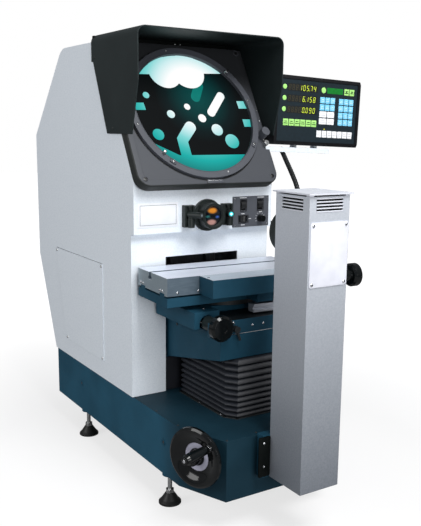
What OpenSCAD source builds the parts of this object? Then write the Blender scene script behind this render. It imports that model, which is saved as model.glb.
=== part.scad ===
/* [Base] */
// Width of the base casting
base_w = 370; // [350:2:400]
// Length of the base casting, front to back
base_len = 808; // [790:2:840]
// Height of the base casting
base_h = 130; // [124:1:140]
// Width of the base's narrow front face
nose_w = 280; // [260:2:300]
// Length of the slanted front corners, along the base
nose_len = 114; // [104:2:124]
// Wall of the base casting
base_wall = 12; // [9:1:14]
// Thickness of the base's top
base_top = 12; // [10:1:12]
// Thickness of the plate that closes the base from below
bottom_t = 4; // [3:0.5:6]

/* [Feet] */
// Height of the base's underside above the floor
foot_h = 72; // [68:1:76]
// Diameter of a rubber pad at the floor
pad_d = 50; // [44:1:54]
// Height of a rubber pad
pad_h = 24; // [20:1:26]
// Diameter of a levelling stud
stud_d = 10; // [8:1:12]
// Width across the flats of a lock nut
nut_af = 17; // [16:0.5:19]
// Height of a lock nut
nut_h = 8; // [6:0.5:10]
// Distance of a stud from the base's side
foot_inset = 17; // [17:1:21]
// Place of the front feet along the base
foot_front_y = -220; // [-240:2:-200]
// Place of the rear feet along the base
foot_rear_y = 233; // [210:1:260]

/* [Cabinet] */
// Width of the cabinet
cab_w = 374; // [370:2:390]
// Sheet thickness of the cabinet
cab_wall = 4; // [3:0.5:5]
// Place of the lower front panel
front_y = -75; // [-77:0.5:-74]
// Place of the head's front
head_y = -90; // [-92:0.5:-88]
// Height at which the head begins
head_z = 582; // [576:1:586]
// Top of the roof
roof_z = 1010; // [1004:1:1018]
// Place of the vertical rear wall
rear_y = 523; // [515:1:535]
// Place of the rear wall's foot
heel_y = 410; // [400:1:420]
// Height at which the rear wall turns vertical
heel_z = 458; // [448:1:478]
// Height at which the roof's slope begins
slope_z = 791; // [773:1:803]
// Place of the roof's rear edge
crest_y = 295; // [285:1:305]
// Half width of the carriage opening in the front panel
gate_x = 99; // [97:0.5:102]
// Top of the carriage opening
gate_top = 525; // [518:1:530]
// Thickness of the screwed-on panels
panel_t = 2; // [1.5:0.5:3]
// Overlap of a screwed-on panel around its opening
panel_lap = 14; // [10:1:18]

/* [Screen] */
// Lean of the screen back from the vertical
screen_tilt = 29.5; // [28:0.5:31]
// Height of the screen's centre
screen_z = 855; // [851:1:859]
// Place of the screen's centre, front to back
screen_y = -40; // [-43:1:-37]
// Visible radius of the screen
screen_r = 154; // [150:1:156]
// Width of the rotating ring around the glass
ring_w = 16; // [14:1:18]
// Depth of the rotating ring
ring_t = 25; // [22:0.5:26]
// Thickness of the screen glass
glass_t = 5; // [4:0.5:6]
// Width of the glass's seat under the ring
glass_lap = 5; // [4:0.5:7]
// Height of the bezel's face behind the ring's face
bezel_drop = 8; // [6:0.5:10]
// Thickness of the bezel plate
bezel_t = 24; // [22:0.5:26]
// Distance from the screen's centre to the bezel's lower edge
bezel_low = 183; // [180:1:186]
// Distance from the screen's centre to the bezel's upper edge
bezel_high = 190; // [186:1:192]
// Radius of the bezel's corners
bezel_corner = 30; // [24:1:36]
// Width of the bevel around the bezel
bezel_bevel = 14; // [10:1:16]
// Sheet thickness of the hood
hood_t = 2.5; // [2:0.5:3]
// Reach of the hood's front edge ahead of the base's middle
hood_front = 121; // [112:1:128]
// Radius of the friction roller that turns the ring
roller_r = 11; // [10:0.5:12]

/* [Projection] */
// Height of the optical axis
axis_z = 619; // [614:1:624]
// Radius of the objective's flange
flange_r = 37; // [35:0.5:39]
// Radius of the objective's barrel
barrel_r = 30; // [28:0.5:32]
// Length of the barrel ahead of the head
barrel_len = 36; // [32:1:38]
// Radius of the front lens
lens_r = 21.5; // [20:0.5:23]
// Radius of the condenser barrel
condenser_r = 45; // [42:0.5:47]
// Length of the condenser barrel ahead of the lamp tower
condenser_len = 24; // [20:1:30]
// Place of the mirror's centre, front to back
mirror_y = 322; // [310:1:335]
// Width of the mirror
mirror_w = 250; // [230:5:270]
// Height of the mirror
mirror_h = 260; // [240:5:280]
// Thickness of the mirror glass
mirror_t = 8; // [6:1:10]

/* [Lamp tower] */
// Width of the lamp tower
tower_w = 96; // [92:1:100]
// Depth of the lamp tower
tower_d = 102; // [98:1:108]
// Gap between the base's front and the tower, filled by the bracket
tower_gap = 20; // [18:1:24]
// Height of the tower's lower end
tower_low = 115; // [108:1:122]
// Height of the tower's upper end
tower_high = 697; // [690:1:708]
// Sheet thickness of the tower
tower_wall = 3; // [2:0.5:4]
// Overhang of the tower's cap
cap_over = 5; // [3:0.5:8]
// Number of louvre slots in each vent
louvre_n = 4; // [3:1:5]

/* [Stage] */
// Half width of the knee
knee_x = 92; // [90:0.5:94]
// Place of the knee's front
knee_front_y = -302; // [-304:0.5:-300]
// Top of the knee
knee_top = 389; // [387:0.5:391]
// Underside of the knee at its front
knee_low = 335; // [330:1:338]
// Underside of the knee at the front panel
knee_deep = 288; // [284:1:292]
// Wall of the knee casting
knee_wall = 10; // [8:0.5:12]
// Half width of the focusing base
focus_x = 66; // [62:1:70]
// Height of the focusing base
focus_h = 31; // [29:0.5:33]
// Half width of the focusing slide
slide_x = 130; // [128:1:134]
// Underside of the focusing slide's arms
slide_low = 398; // [396:0.5:400]
// Thickness of the focusing slide's top
slide_t = 14; // [12:0.5:15]
// Diameter of the focusing knob
focus_knob_d = 55; // [50:1:58]
// Length of the focusing knob
focus_knob_len = 23; // [20:1:28]
// Height of the focusing knob's axis
focus_axis_z = 410; // [409:0.5:411]
// Radius of the focusing screw
focus_screw_r = 6; // [5:0.5:7]
// Turn of the table in the stored pose, seen from above
swivel_rest = -2.5; // [-4:0.5:4]
// Radius of the swivel plate
swivel_r = 70; // [60:1:72]
// Thickness of the swivel plate
swivel_t = 11; // [10:0.5:12]
// Length of the work table
table_len = 356; // [350:2:370]
// Width of the work table
table_w = 146; // [142:1:148]
// Thickness of the work table
table_t = 39; // [37:0.5:42]
// Thickness of the saddle
saddle_t = 20; // [18:0.5:22]
// Gap between the saddle and the table, bridged by the ways
way_gap = 4; // [3:0.5:5]
// Width of a table way
way_w = 22; // [18:1:24]
// Width of the T-slot's mouth
slot_w = 10; // [8:0.5:12]
// Width of the T-slot's foot
slot_foot_w = 17; // [15:0.5:19]
// Depth of the T-slot
slot_depth = 17; // [15:0.5:18]
// Reach of the apron ahead of the table
apron_d = 60; // [56:1:64]
// Place of the apron's left end
apron_left = -102; // [-106:1:-99]
// Wall of the apron
apron_wall = 10; // [8:0.5:11]
// Radius of the cross-feed screw
feed_r = 7; // [6:0.5:8]
// Diameter of the cross-feed knob
feed_knob_d = 55; // [50:1:60]
// Length of the cross-feed knob
feed_knob_len = 24; // [20:1:28]
// Place of the cross-feed knob's inner face
feed_knob_x = 280; // [272:1:290]

/* [Elevation drive] */
// Radius of the elevation screw
screw_r = 12; // [11:0.5:13]
// Radius of the elevation screw's lower journal
journal_r = 8; // [7:0.5:9]
// Distance of the elevation screw from the middle plane
screw_x = 30; // [28:0.5:33]
// Height of the handwheel's axis
wheel_z = 161; // [158:0.5:164]
// Place of the elevation screw, front to back
screw_y = -270.7; // [-273:0.1:-269]
// Diameter of the handwheel
wheel_d = 125; // [115:1:130]
// Radius of the handwheel's rim section
rim_r = 8; // [7:0.5:9]
// Radius at which the revolving grip stands
grip_pitch = 46; // [42:0.5:48]
// Length of the revolving grip
grip_len = 66; // [60:1:74]
// Radius of the revolving grip at its widest
grip_r = 11; // [10:0.5:13]
// Number of teeth of each bevel gear
bevel_teeth = 16; // [14:1:18]
// Pitch radius of the bevel gears at their outer ends
bevel_r = 26; // [25:0.5:27]
// Face width of the bevel gears along their axes
bevel_face = 11; // [9:0.5:12]
// Width of the bellows
bellows_w = 140; // [136:1:142]
// Place of the bellows' front
bellows_front = -311; // [-313:0.5:-309]
// Place of the bellows' rear
bellows_rear = -97; // [-99:0.5:-95]
// Depth of a bellows pleat
pleat_depth = 9; // [7:0.5:10]
// Number of bellows pleats
pleat_n = 9; // [7:1:11]

/* [Controls and display] */
// Left edge of the control panel
controls_left = 73; // [70:1:76]
// Width of the control panel
controls_w = 103; // [98:1:108]
// Lower edge of the control panel
controls_low = 585; // [584:0.5:588]
// Height of the control panel
controls_h = 73; // [70:0.5:76]
// Thickness of the control panel
controls_t = 4; // [3:0.5:5]
// Radius of a rocker's barrel
rocker_r = 12; // [11:0.25:12.5]
// Width of a rocker
rocker_w = 14; // [13:0.5:16]
// Lean of a rocker in its pressed position
rocker_lean = 8; // [6:0.5:9]
// Radius of the dimmer knob
dimmer_r = 9; // [8:0.5:10]
// Width of the display console
display_w = 276; // [268:1:284]
// Height of the display console
display_h = 170; // [164:1:176]
// Depth of the display console
display_d = 42; // [38:1:46]
// Droop of the display's arm
display_droop = 2; // [0:0.5:3]
// Height of the display arm's root
display_z = 769; // [762:1:774]
// Place of the display's middle, front to back
display_y = -39; // [-44:1:-36]
// Clear distance between the cabinet and the display
display_gap = 24; // [20:1:30]
// Diameter of the display's cable
cable_d = 12; // [10:0.5:13]

/* [Clearances] */
// Gap between faces that seat or slide on each other
seat = 0.3; // [0.2:0.05:0.4]
// Radial clearance of a shaft in its bore
fit = 0.05; // [0.03:0.01:0.08]

/* [Hidden] */
$fn = 64;

white = [0.90, 0.91, 0.91];
navy = [0.11, 0.26, 0.35];
charcoal = [0.29, 0.29, 0.31];
black = [0.07, 0.07, 0.08];
silver = [0.66, 0.69, 0.72];
steel = [0.72, 0.73, 0.75];
iron = [0.35, 0.36, 0.38];
bronze = [0.72, 0.53, 0.26];
lens_blue = [0.55, 0.72, 0.78];

cut = 1;
base_z = foot_h + base_h;
cab_x = cab_w / 2;
base_front = -base_len / 2;

// Slanted front corner that carries the handwheel
facet_run = (base_w - nose_w) / 2;
facet_a = atan2(facet_run, nose_len);
wheel_along = (screw_x + base_w / 2) * sin(facet_a) - (screw_y - base_front - nose_len) * cos(facet_a);
wheel_x = -base_w / 2 + wheel_along * sin(facet_a);
wheel_y = base_front + nose_len - wheel_along * cos(facet_a);
shaft_len = (screw_x - wheel_x) / cos(facet_a);

// Screen plane
ring_r = screen_r + ring_w;
bezel_back = bezel_drop + bezel_t;
bezel_r = ring_r + 1;
front_lean = tan(screen_tilt);
lean_y = screen_y + bezel_back * cos(screen_tilt);
lean_z = screen_z - bezel_back * sin(screen_tilt);
brow_z = lean_z - (lean_y - head_y) / front_lean;
roof_front_y = lean_y + (roof_z - lean_z) * front_lean;

// Stage heights
focus_top = knee_top + focus_h;
slide_top = focus_top + seat + slide_t;
saddle_low = slide_top + seat + swivel_t;
saddle_top = saddle_low + saddle_t;
table_low = saddle_top + way_gap;
table_top = table_low + table_t;
table_rear = -94;
table_front = table_rear - table_w;
stage_y = table_rear - table_w / 2;
slot_y = stage_y + 12;
apron_front = table_front - apron_d;
apron_right = table_len / 2;
feed_y = table_front - apron_d / 2;
feed_z = table_low + 13;
tower_rear = base_front - tower_gap;
tower_front = tower_rear - tower_d;
tower_mid = tower_rear - tower_d / 2;

function inset(p, d) = [
    for (i = [0 : len(p) - 1])
        let (
            a = p[(i + len(p) - 1) % len(p)], b = p[i], c = p[(i + 1) % len(p)],
            u = (b - a) / norm(b - a), v = (c - b) / norm(c - b),
            n = [-u[1], u[0]], m = [-v[1], v[0]],
            k = d / (1 + n * m)
        ) b + k * (n + m)
];
function arc(c, r, from, to, n = 6) = [
    for (i = [0 : n]) c + r * [cos(from + (to - from) * i / n), sin(from + (to - from) * i / n)]
];

module along_x(x, y, z) translate([x, y, z]) rotate([0, 90, 0]) children();
module along_y(x, y, z) translate([x, y, z]) rotate([-90, 0, 0]) children();
module box(low, high) translate(low) cube(high - low);
// Draws a profile of (y, z) points across the machine, from x0 to x1
module across(x0, x1) translate([x0, 0, 0]) rotate([90, 0, 90]) linear_extrude(x1 - x0) children();
module on_screen(u = 0, v = 0, w = 0)
    translate([0, screen_y, screen_z]) rotate([90 - screen_tilt, 0, 0]) translate([u, v, w]) children();
// Local z points out of the slanted corner, local x down and local y to the front
module on_facet() translate([wheel_x, wheel_y, wheel_z]) rotate([0, 0, 180 + facet_a])
    rotate([0, 90, 0]) children();
module on_swivel() translate([0, stage_y, 0]) rotate([0, 0, swivel_rest]) translate([0, -stage_y, 0])
    children();
module on_arm() translate([cab_x, display_y, display_z]) rotate([0, display_droop, 0]) children();

// Base and feet
base_plan = [
    [-base_w / 2, -base_front], [-base_w / 2, base_front + nose_len], [-nose_w / 2, base_front],
    [nose_w / 2, base_front], [base_w / 2, base_front + nose_len], [base_w / 2, -base_front]
];
foot_x = base_w / 2 - foot_inset;
foot_places = [for (x = [-foot_x, foot_x], y = [foot_front_y, foot_rear_y]) [x, y]];
foot_boss_d = 34;
foot_boss_drop = 6;
foot_boss_h = 40;
bearing_boss_r = 18;
bearing_boss_h = 5;

module base_casting() color(navy) difference() {
    union() {
        difference() {
            translate([0, 0, foot_h]) linear_extrude(base_h) polygon(base_plan);
            translate([0, 0, foot_h - cut]) linear_extrude(base_h - base_top + cut)
                polygon(inset(base_plan, base_wall));
        }
        for (p = foot_places) translate([p[0], p[1], foot_h - foot_boss_drop])
            cylinder(d = foot_boss_d, h = foot_boss_h + foot_boss_drop);
        translate([screw_x, screw_y, base_z - base_top - bearing_boss_h])
            cylinder(r = bearing_boss_r, h = bearing_boss_h + cut);
    }
    for (p = foot_places) translate([p[0], p[1], foot_h - foot_boss_drop - cut])
        cylinder(d = stud_d + 2 * fit, h = foot_boss_h + foot_boss_drop - 6);
    translate([screw_x, screw_y, foot_h]) cylinder(r = screw_r + fit, h = base_h + cut);
    on_facet() translate([0, 0, -2 * base_wall]) cylinder(r = sleeve_r + fit, h = 3 * base_wall);
}

bottom_boss_r = 18;
bottom_boss_h = 24;
module bottom_plate() color(iron) difference() {
    union() {
        difference() {
            translate([0, 0, foot_h]) linear_extrude(bottom_t) polygon(inset(base_plan, base_wall + seat));
            for (p = foot_places) translate([p[0], p[1], foot_h - cut])
                cylinder(d = foot_boss_d + 2 * seat, h = bottom_t + 2 * cut);
        }
        translate([screw_x, screw_y, foot_h]) cylinder(r = bottom_boss_r, h = bottom_boss_h);
    }
    translate([screw_x, screw_y, foot_h + bottom_t]) cylinder(r = journal_r + fit, h = bottom_boss_h);
}

stud_seat = 8;
module foot_pads() color(black) for (p = foot_places) translate([p[0], p[1], 0]) rotate_extrude()
    polygon([[0, 0], [pad_d / 2, 0], [pad_d / 2, 4], [pad_d / 2 - 5, 9], [stud_d, pad_h],
        [stud_d / 2 + fit, pad_h], [stud_d / 2 + fit, stud_seat], [0, stud_seat]]);

module foot_studs() color(steel) for (p = foot_places) translate([p[0], p[1], 0]) {
    translate([0, 0, stud_seat]) cylinder(d = stud_d, h = foot_h + foot_boss_h - 8 - stud_seat);
    translate([0, 0, pad_h]) difference() {
        cylinder(d = nut_af / cos(30), h = nut_h, $fn = 6);
        translate([0, 0, -cut]) cylinder(d = stud_d + 2 * fit, h = nut_h + 2 * cut);
    }
}

// Cabinet
crest_r = 60;
cab_profile = concat(
    [[front_y, base_z], [heel_y, base_z], [rear_y, heel_z], [rear_y, slope_z]],
    arc([crest_y - 6, roof_z - crest_r], crest_r, 44, 90),
    [[roof_front_y, roof_z], [head_y, brow_z], [head_y, head_z], [front_y, head_z]]
);
lens_hole_r = barrel_r + 2;
screen_hole_r = screen_r + 2;
side_panel = [[81, 248], [324, 248], [388, 491], [81, 491]];
rear_panel_x = 140;
rear_panel_low = 488;
rear_panel_high = 758;
controls_lap = 7;
floor_x = 150;
floor_rear = 380;

module cabinet_shell() color(white) difference() {
    across(-cab_x, cab_x) polygon(cab_profile);
    across(-cab_x + cab_wall, cab_x - cab_wall) polygon(inset(cab_profile, cab_wall));
    box([-gate_x, front_y - cut, base_z - cut], [gate_x, front_y + 20, gate_top]);
    box([-floor_x, front_y + 15, base_z - cut], [floor_x, floor_rear, base_z + cab_wall + cut]);
    on_screen(0, 0, -bezel_back - 30) cylinder(r = screen_hole_r, h = 60);
    along_y(0, head_y - cut, axis_z) cylinder(r = lens_hole_r, h = cab_wall + 2 * cut);
    box([controls_left + controls_lap, head_y - cut, controls_low + controls_lap],
        [controls_left + controls_w - controls_lap, head_y + cab_wall + cut,
            controls_low + controls_h - controls_lap]);
    for (s = [-1, 1]) scale([s, 1, 1]) across(cab_x - cab_wall - cut, cab_x + cut)
        polygon(inset(side_panel, panel_lap));
    box([-rear_panel_x + panel_lap, rear_y - cab_wall - cut, rear_panel_low + panel_lap],
        [rear_panel_x - panel_lap, rear_y + cut, rear_panel_high - panel_lap]);
}

module access_panels() color(white) for (s = [-1, 1]) mirror([s < 0 ? 1 : 0, 0, 0])
    across(cab_x, cab_x + panel_t) polygon(side_panel);

vent_rows = 6;
vent_low = 638;
vent_pitch = 16;
vent_h = 6;
inlet_w = 48;
inlet_h = 28;
inlet_x = 90;
inlet_z = 538;
module rear_panel() color(white) difference() {
    box([-rear_panel_x, rear_y, rear_panel_low], [rear_panel_x, rear_y + panel_t, rear_panel_high]);
    for (i = [0 : vent_rows - 1])
        box([-70, rear_y - cut, vent_low + i * vent_pitch], [70, rear_y + panel_t + cut,
            vent_low + i * vent_pitch + vent_h]);
    box([inlet_x - inlet_w / 2, rear_y - cut, inlet_z - inlet_h / 2],
        [inlet_x + inlet_w / 2, rear_y + panel_t + cut, inlet_z + inlet_h / 2]);
}

inlet_lip = 4;
inlet_depth = 26;
inlet_wall = 3;
module power_inlet() color(black) difference() {
    union() {
        box([inlet_x - inlet_w / 2 + seat, rear_y - inlet_depth, inlet_z - inlet_h / 2 + seat],
            [inlet_x + inlet_w / 2 - seat, rear_y + panel_t + cut, inlet_z + inlet_h / 2 - seat]);
        box([inlet_x - inlet_w / 2 - inlet_lip, rear_y + panel_t, inlet_z - inlet_h / 2 - inlet_lip],
            [inlet_x + inlet_w / 2 + inlet_lip, rear_y + panel_t + 2, inlet_z + inlet_h / 2 + inlet_lip]);
    }
    box([inlet_x - inlet_w / 2 + 2 * inlet_wall, rear_y - inlet_depth + inlet_wall,
        inlet_z - inlet_h / 2 + inlet_wall],
        [inlet_x + inlet_w / 2 - 2 * inlet_wall, rear_y + panel_t + 2 + cut,
            inlet_z + inlet_h / 2 - inlet_wall]);
}

// Screen
module screen_bezel() color(charcoal) difference() {
    on_screen(0, 0, -bezel_back) intersection() {
        translate([0, 0, 0]) rounded_plate(cab_x, bezel_low, bezel_high, bezel_corner, bezel_t);
        translate([-cab_x - cut, 0, 0]) rotate([90, 0, 90]) linear_extrude(cab_w + 2 * cut)
            polygon([[-bezel_low, 0], [bezel_high, 0], [bezel_high, bezel_t],
                [-bezel_low + bezel_bevel, bezel_t], [-bezel_low, bezel_t - bezel_bevel]]);
        translate([0, bezel_high + cut, 0]) rotate([90, 0, 0])
            linear_extrude(bezel_high + bezel_low + 2 * cut)
            polygon([[-cab_x, 0], [cab_x, 0], [cab_x, bezel_t - bezel_bevel], [cab_x - bezel_bevel,
                bezel_t],
                [bezel_bevel - cab_x, bezel_t], [-cab_x, bezel_t - bezel_bevel]]);
    }
    on_screen(0, 0, -bezel_back - cut) cylinder(r = screen_hole_r, h = bezel_t + 2 * cut, $fn = 128);
    on_screen(0, 0, -ring_t - seat) cylinder(r = bezel_r, h = bezel_t + cut, $fn = 128);
    on_screen(roller_u, roller_v, -ring_t - seat) cylinder(r = roller_r + 1, h = bezel_t + cut);
    on_screen(roller_u, roller_v, -bezel_back - cut) cylinder(r = roller_pin_r + fit, h = bezel_t);
    on_screen(clamp_u, clamp_v, -bezel_drop - clamp_pin)
        cylinder(r = clamp_pin_r + fit, h = clamp_pin + cut);
    across(-cab_x - cut, cab_x + cut) polygon([[roof_front_y, roof_z], [roof_front_y - 200, roof_z],
        [roof_front_y - 200, roof_z + 200], [roof_front_y + 200, roof_z + 200], [roof_front_y + 200,
            roof_z]]);
}

module rounded_plate(half_w, low, high, r, t) {
    translate([-half_w, -low + r, 0]) cube([2 * half_w, low + high - r, t]);
    translate([-half_w + r, -low, 0]) cube([2 * half_w - 2 * r, r + cut, t]);
    for (s = [-1, 1]) translate([s * (half_w - r), -low + r, 0]) cylinder(r = r, h = t);
}

hood_rise = 14;
hood_bend = 16;
hood_z = roof_z + hood_rise + hood_t;
hood_x = cab_x + seat;
hood_break_z = 915;
hood_low_z = 802;
hood_notch_z = 965;
hood_rear = 119;
hood_side = [
    [37, hood_low_z], [110, hood_notch_z], [hood_rear, hood_notch_z], [hood_rear, hood_z],
    [-hood_front, hood_z], [-hood_front, hood_break_z], [-90, hood_low_z]
];
// The hood's arch from the front, as (x, z) points around one top corner and then the other
function hood_arch(x, z, r) = concat(
    [[-x, hood_low_z - cut], [x, hood_low_z - cut]],
    arc([x - r, z - r], r, 0, 90),
    arc([r - x, z - r], r, 90, 180)
);
module screen_hood() color(black) intersection() {
    across(-cab_w, cab_w) polygon(hood_side);
    translate([0, hood_rear + cut, 0]) rotate([90, 0, 0])
        linear_extrude(hood_rear + hood_front + 2 * cut) difference() {
        polygon(hood_arch(hood_x + hood_t, hood_z, hood_bend + hood_t));
        translate([0, -2 * cut]) polygon(hood_arch(hood_x, hood_z - hood_t + 2 * cut, hood_bend));
    }
}

module screen_ring() color(black) on_screen(0, 0, -ring_t) difference() {
    cylinder(r = ring_r, h = ring_t, $fn = 128);
    translate([0, 0, -cut]) cylinder(r = screen_r + glass_lap + seat, h = ring_t - glass_front + cut,
        $fn = 128);
    translate([0, 0, -cut]) cylinder(r1 = screen_r, r2 = screen_r, h = ring_t + 2 * cut, $fn = 128);
}
glass_front = 8;
module screen_glass() color(lens_blue) on_screen(0, 0, -glass_front - glass_t)
    cylinder(r = screen_r + glass_lap, h = glass_t, $fn = 128);

// The roller presses on the ring's edge, the clamp bears on the bezel beside it
roller_a = -18.6;
roller_u = (ring_r + roller_r + seat) * cos(roller_a);
roller_v = (ring_r + roller_r + seat) * sin(roller_a);
roller_pin_r = 3;
ring_knob_r = 11;
ring_knob_len = 22;
module ring_knob() color(black) {
    on_screen(roller_u, roller_v, -ring_t) cylinder(r = roller_r, h = ring_t - bezel_drop + 3);
    on_screen(roller_u, roller_v, -bezel_back + 1) cylinder(r = roller_pin_r, h = bezel_back - ring_t);
    on_screen(roller_u, roller_v, -bezel_drop + 2) cylinder(r = ring_knob_r, h = ring_knob_len);
}
clamp_u = 174;
clamp_v = -82;
clamp_pin = 12;
clamp_pin_r = 2.5;
clamp_r = 6.5;
clamp_len = 12;
module ring_clamp() color(steel) {
    on_screen(clamp_u, clamp_v, -bezel_drop - clamp_pin + seat) cylinder(r = clamp_pin_r, h = clamp_pin);
    on_screen(clamp_u, clamp_v, -bezel_drop + seat) cylinder(r = clamp_r, h = clamp_len);
}

// Projection optics
flange_t = 8;
lens_seat = 12;
module lens_mount() color(black) difference() {
    union() {
        along_y(0, head_y - flange_t, axis_z) cylinder(r = flange_r, h = flange_t);
        along_y(0, head_y - barrel_len, axis_z) cylinder(r = barrel_r, h = barrel_len + 50);
    }
    along_y(0, head_y - barrel_len - cut, axis_z) cylinder(r = lens_r - 2, h = barrel_len + 60);
    along_y(0, head_y - barrel_len - cut, axis_z) cylinder(r = lens_r + fit, h = lens_seat + cut);
    along_y(0, head_y - barrel_len - cut, axis_z) cylinder(r1 = lens_r + 4, r2 = lens_r, h = 5);
}
lens_bulge = 3;

// Room behind a lens for its bulge to clear the shoulder that it seats on
lens_relief = 0.7;
module objective_lens() color(lens_blue) along_y(0, head_y - barrel_len + 5, axis_z)
    biconvex(lens_r, lens_seat - 5 - lens_relief, lens_bulge);

// A lens blank of radius r and edge thickness t whose faces bulge by b
module biconvex(r, t, b) {
    ball = (r * r + b * b) / (2 * b);
    rotate_extrude() intersection() {
        translate([0, -b]) square([r, t + 2 * b]);
        translate([0, ball - b]) circle(r = ball, $fn = 200);
        translate([0, t + b - ball]) circle(r = ball, $fn = 200);
    }
}

mirror_tilt = screen_tilt / 2;
module on_mirror() translate([0, mirror_y, axis_z]) rotate([90 - mirror_tilt, 0, 0]) children();
module folding_mirror() color(steel) on_mirror() translate([-mirror_w / 2, -mirror_h / 2, 0])
    cube([mirror_w, mirror_h, mirror_t]);
bracket_t = 6;
mirror_plate_x = cab_x - cab_wall - seat;
mirror_hole_r = 14;
module mirror_bracket() color(iron) on_mirror() difference() {
    translate([-mirror_plate_x, -mirror_h / 2, -bracket_t]) cube([2 * mirror_plate_x, mirror_h, bracket_t]);
    for (s = [-1, 1]) translate([s * (mirror_w / 2 + mirror_plate_x) / 2, 0, -bracket_t - cut])
        cylinder(r = mirror_hole_r, h = bracket_t + 2 * cut);
}

column_x = 75;
column_y = -10;
column_d = 80;
column_h = 345;
column_foot_t = 16;
module column() color(iron) difference() {
    union() {
        box([-column_x, column_y, base_z], [column_x, column_y + column_d, base_z + column_h]);
        box([-column_x - 20, column_y, base_z], [column_x + 20, column_y + column_d + 40,
            base_z + column_foot_t]);
    }
    box([-column_x + 16, column_y + 20, base_z + column_foot_t + 20],
        [column_x - 16, column_y + column_d + cut, base_z + column_h - 20]);
}
rail_x = 50;
rail_w = 20;
rail_t = 16;
module guide_rails() color(steel) for (s = [-1, 1])
    box([s * rail_x - rail_w / 2, column_y - rail_t, base_z + 6], [s * rail_x + rail_w / 2, column_y,
        base_z + column_h - 4]);

supply_x = 60;
supply_y = 150;
supply_len = 180;
supply_h = 80;
fin_n = 8;
fin_pitch = 18;
fin_gap = 8;
fin_foot = 20;
module power_supply() color(silver) difference() {
    box([-supply_x, supply_y, base_z], [supply_x, supply_y + supply_len, base_z + supply_h]);
    for (i = [0 : fin_n - 1])
        box([-supply_x - cut, supply_y + fin_foot + i * fin_pitch, base_z + fin_foot],
            [supply_x + cut, supply_y + fin_foot + i * fin_pitch + fin_gap, base_z + supply_h + cut]);
}

// Lamp tower
tower_x = tower_w / 2;
vent_x = 32;
vent_top = tower_high - 5;
louvre_pitch = 6;
louvre_h = 3.5;
module lamp_tower() color(silver) difference() {
    box([-tower_x, tower_front, tower_low], [tower_x, tower_rear, tower_high]);
    box([-tower_x + tower_wall, tower_front + tower_wall, tower_low + tower_wall],
        [tower_x - tower_wall, tower_rear - tower_wall, tower_high + cut]);
    for (i = [0 : louvre_n - 1]) {
        z = vent_top - i * louvre_pitch - louvre_h;
        box([-vent_x, tower_front - cut, z], [vent_x, tower_front + tower_wall + cut, z + louvre_h]);
        box([-tower_x - cut, tower_mid - vent_x, z], [tower_x + cut, tower_mid + vent_x, z + louvre_h]);
    }
    along_y(0, tower_rear - tower_wall - cut, axis_z)
        cylinder(r = condenser_r - 6, h = tower_wall + 2 * cut);
}
cap_t = 3;
cap_gap = 3;
module tower_cap() color(silver) {
    box([-tower_x - cap_over, tower_front - cap_over, tower_high + cap_gap],
        [tower_x + cap_over, tower_rear + cap_over, tower_high + cap_gap + cap_t]);
    for (sx = [-1, 1], y = [tower_front + 5, tower_rear - 5]) translate([sx * (tower_x - 5), y, 0])
        box([-5, -5, tower_high], [5, 5, tower_high + cap_gap + cut]);
}
bracket_x = 66;
bracket_high = 206;
module tower_bracket() color(black) box([-bracket_x, tower_rear, tower_low], [bracket_x, base_front,
    bracket_high]);

condenser_wall = 5;
module condenser_barrel() color(black) along_y(0, tower_rear, axis_z) difference() {
    cylinder(r = condenser_r, h = condenser_len);
    translate([0, 0, -cut]) cylinder(r = condenser_r - condenser_wall - 3, h = condenser_len + 2 * cut);
    translate([0, 0, 6]) cylinder(r = condenser_r - condenser_wall + fit, h = condenser_len);
}
module condenser_lens() color(lens_blue) along_y(0, tower_rear + 6 + lens_relief, axis_z)
    biconvex(condenser_r - condenser_wall, 8, 4);
holder_z = 578;
holder_t = 4;
module lamp_holder() color(iron) {
    box([-tower_x + tower_wall + seat, tower_front + tower_wall + seat, holder_z],
        [tower_x - tower_wall - seat, tower_rear - tower_wall - seat, holder_z + holder_t]);
    translate([0, tower_mid, holder_z]) cylinder(r = 14, h = 22);
}
module lamp_bulb() color(lens_blue) translate([0, tower_mid, holder_z + 22]) rotate_extrude()
    polygon(concat([[0, 0], [9, 0], [9, 26]], arc([0, 26], 9, 0, 90)));

// Stage, from the knee upwards
knee_rear = -62;
knee_slope = (knee_deep - knee_low) / (front_y - knee_front_y);
knee_profile = [
    [knee_front_y, knee_low], [knee_rear, knee_deep + knee_slope * (knee_rear - front_y)],
    [knee_rear, knee_top], [knee_front_y, knee_top]
];
knee_roof = 14;
plate_low = 268;
plate_high = 464;
plate_t = 16;
nut_low = 266;
nut_len = 30;
nut_r = 17;
tube_r = 18;
well_r = screw_r + 2;
well_top = focus_top - 8;
module knee_casting() color(navy) difference() {
    union() {
        difference() {
            across(-knee_x, knee_x) polygon(knee_profile);
            box([-knee_x + knee_wall, knee_front_y + knee_wall, knee_deep - 60], [knee_x - knee_wall,
                knee_rear, knee_top - knee_roof]);
        }
        box([-knee_x, knee_rear, plate_low], [knee_x, knee_rear + plate_t, plate_high]);
        translate([screw_x, screw_y, nut_low + nut_len])
            cylinder(r = tube_r, h = knee_top - knee_roof - nut_low - nut_len + cut);
    }
    translate([screw_x, screw_y, nut_low]) cylinder(r = well_r, h = knee_top);
}
truck_h = 60;
truck_x = 28;
module knee_trucks() color(steel) for (s = [-1, 1], z = [plate_low + 6, plate_high - truck_h - 6])
    difference() {
    box([s * rail_x - truck_x, knee_rear + plate_t, z], [s * rail_x + truck_x, column_y - 3, z + truck_h]);
    box([s * rail_x - rail_w / 2 - seat, column_y - rail_t - seat, z - cut],
        [s * rail_x + rail_w / 2 + seat, column_y, z + truck_h + cut]);
}
module knee_nut() color(bronze) translate([screw_x, screw_y, nut_low]) difference() {
    cylinder(r = nut_r, h = nut_len);
    translate([0, 0, -cut]) cylinder(r = screw_r + fit, h = nut_len + 2 * cut);
}

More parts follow.
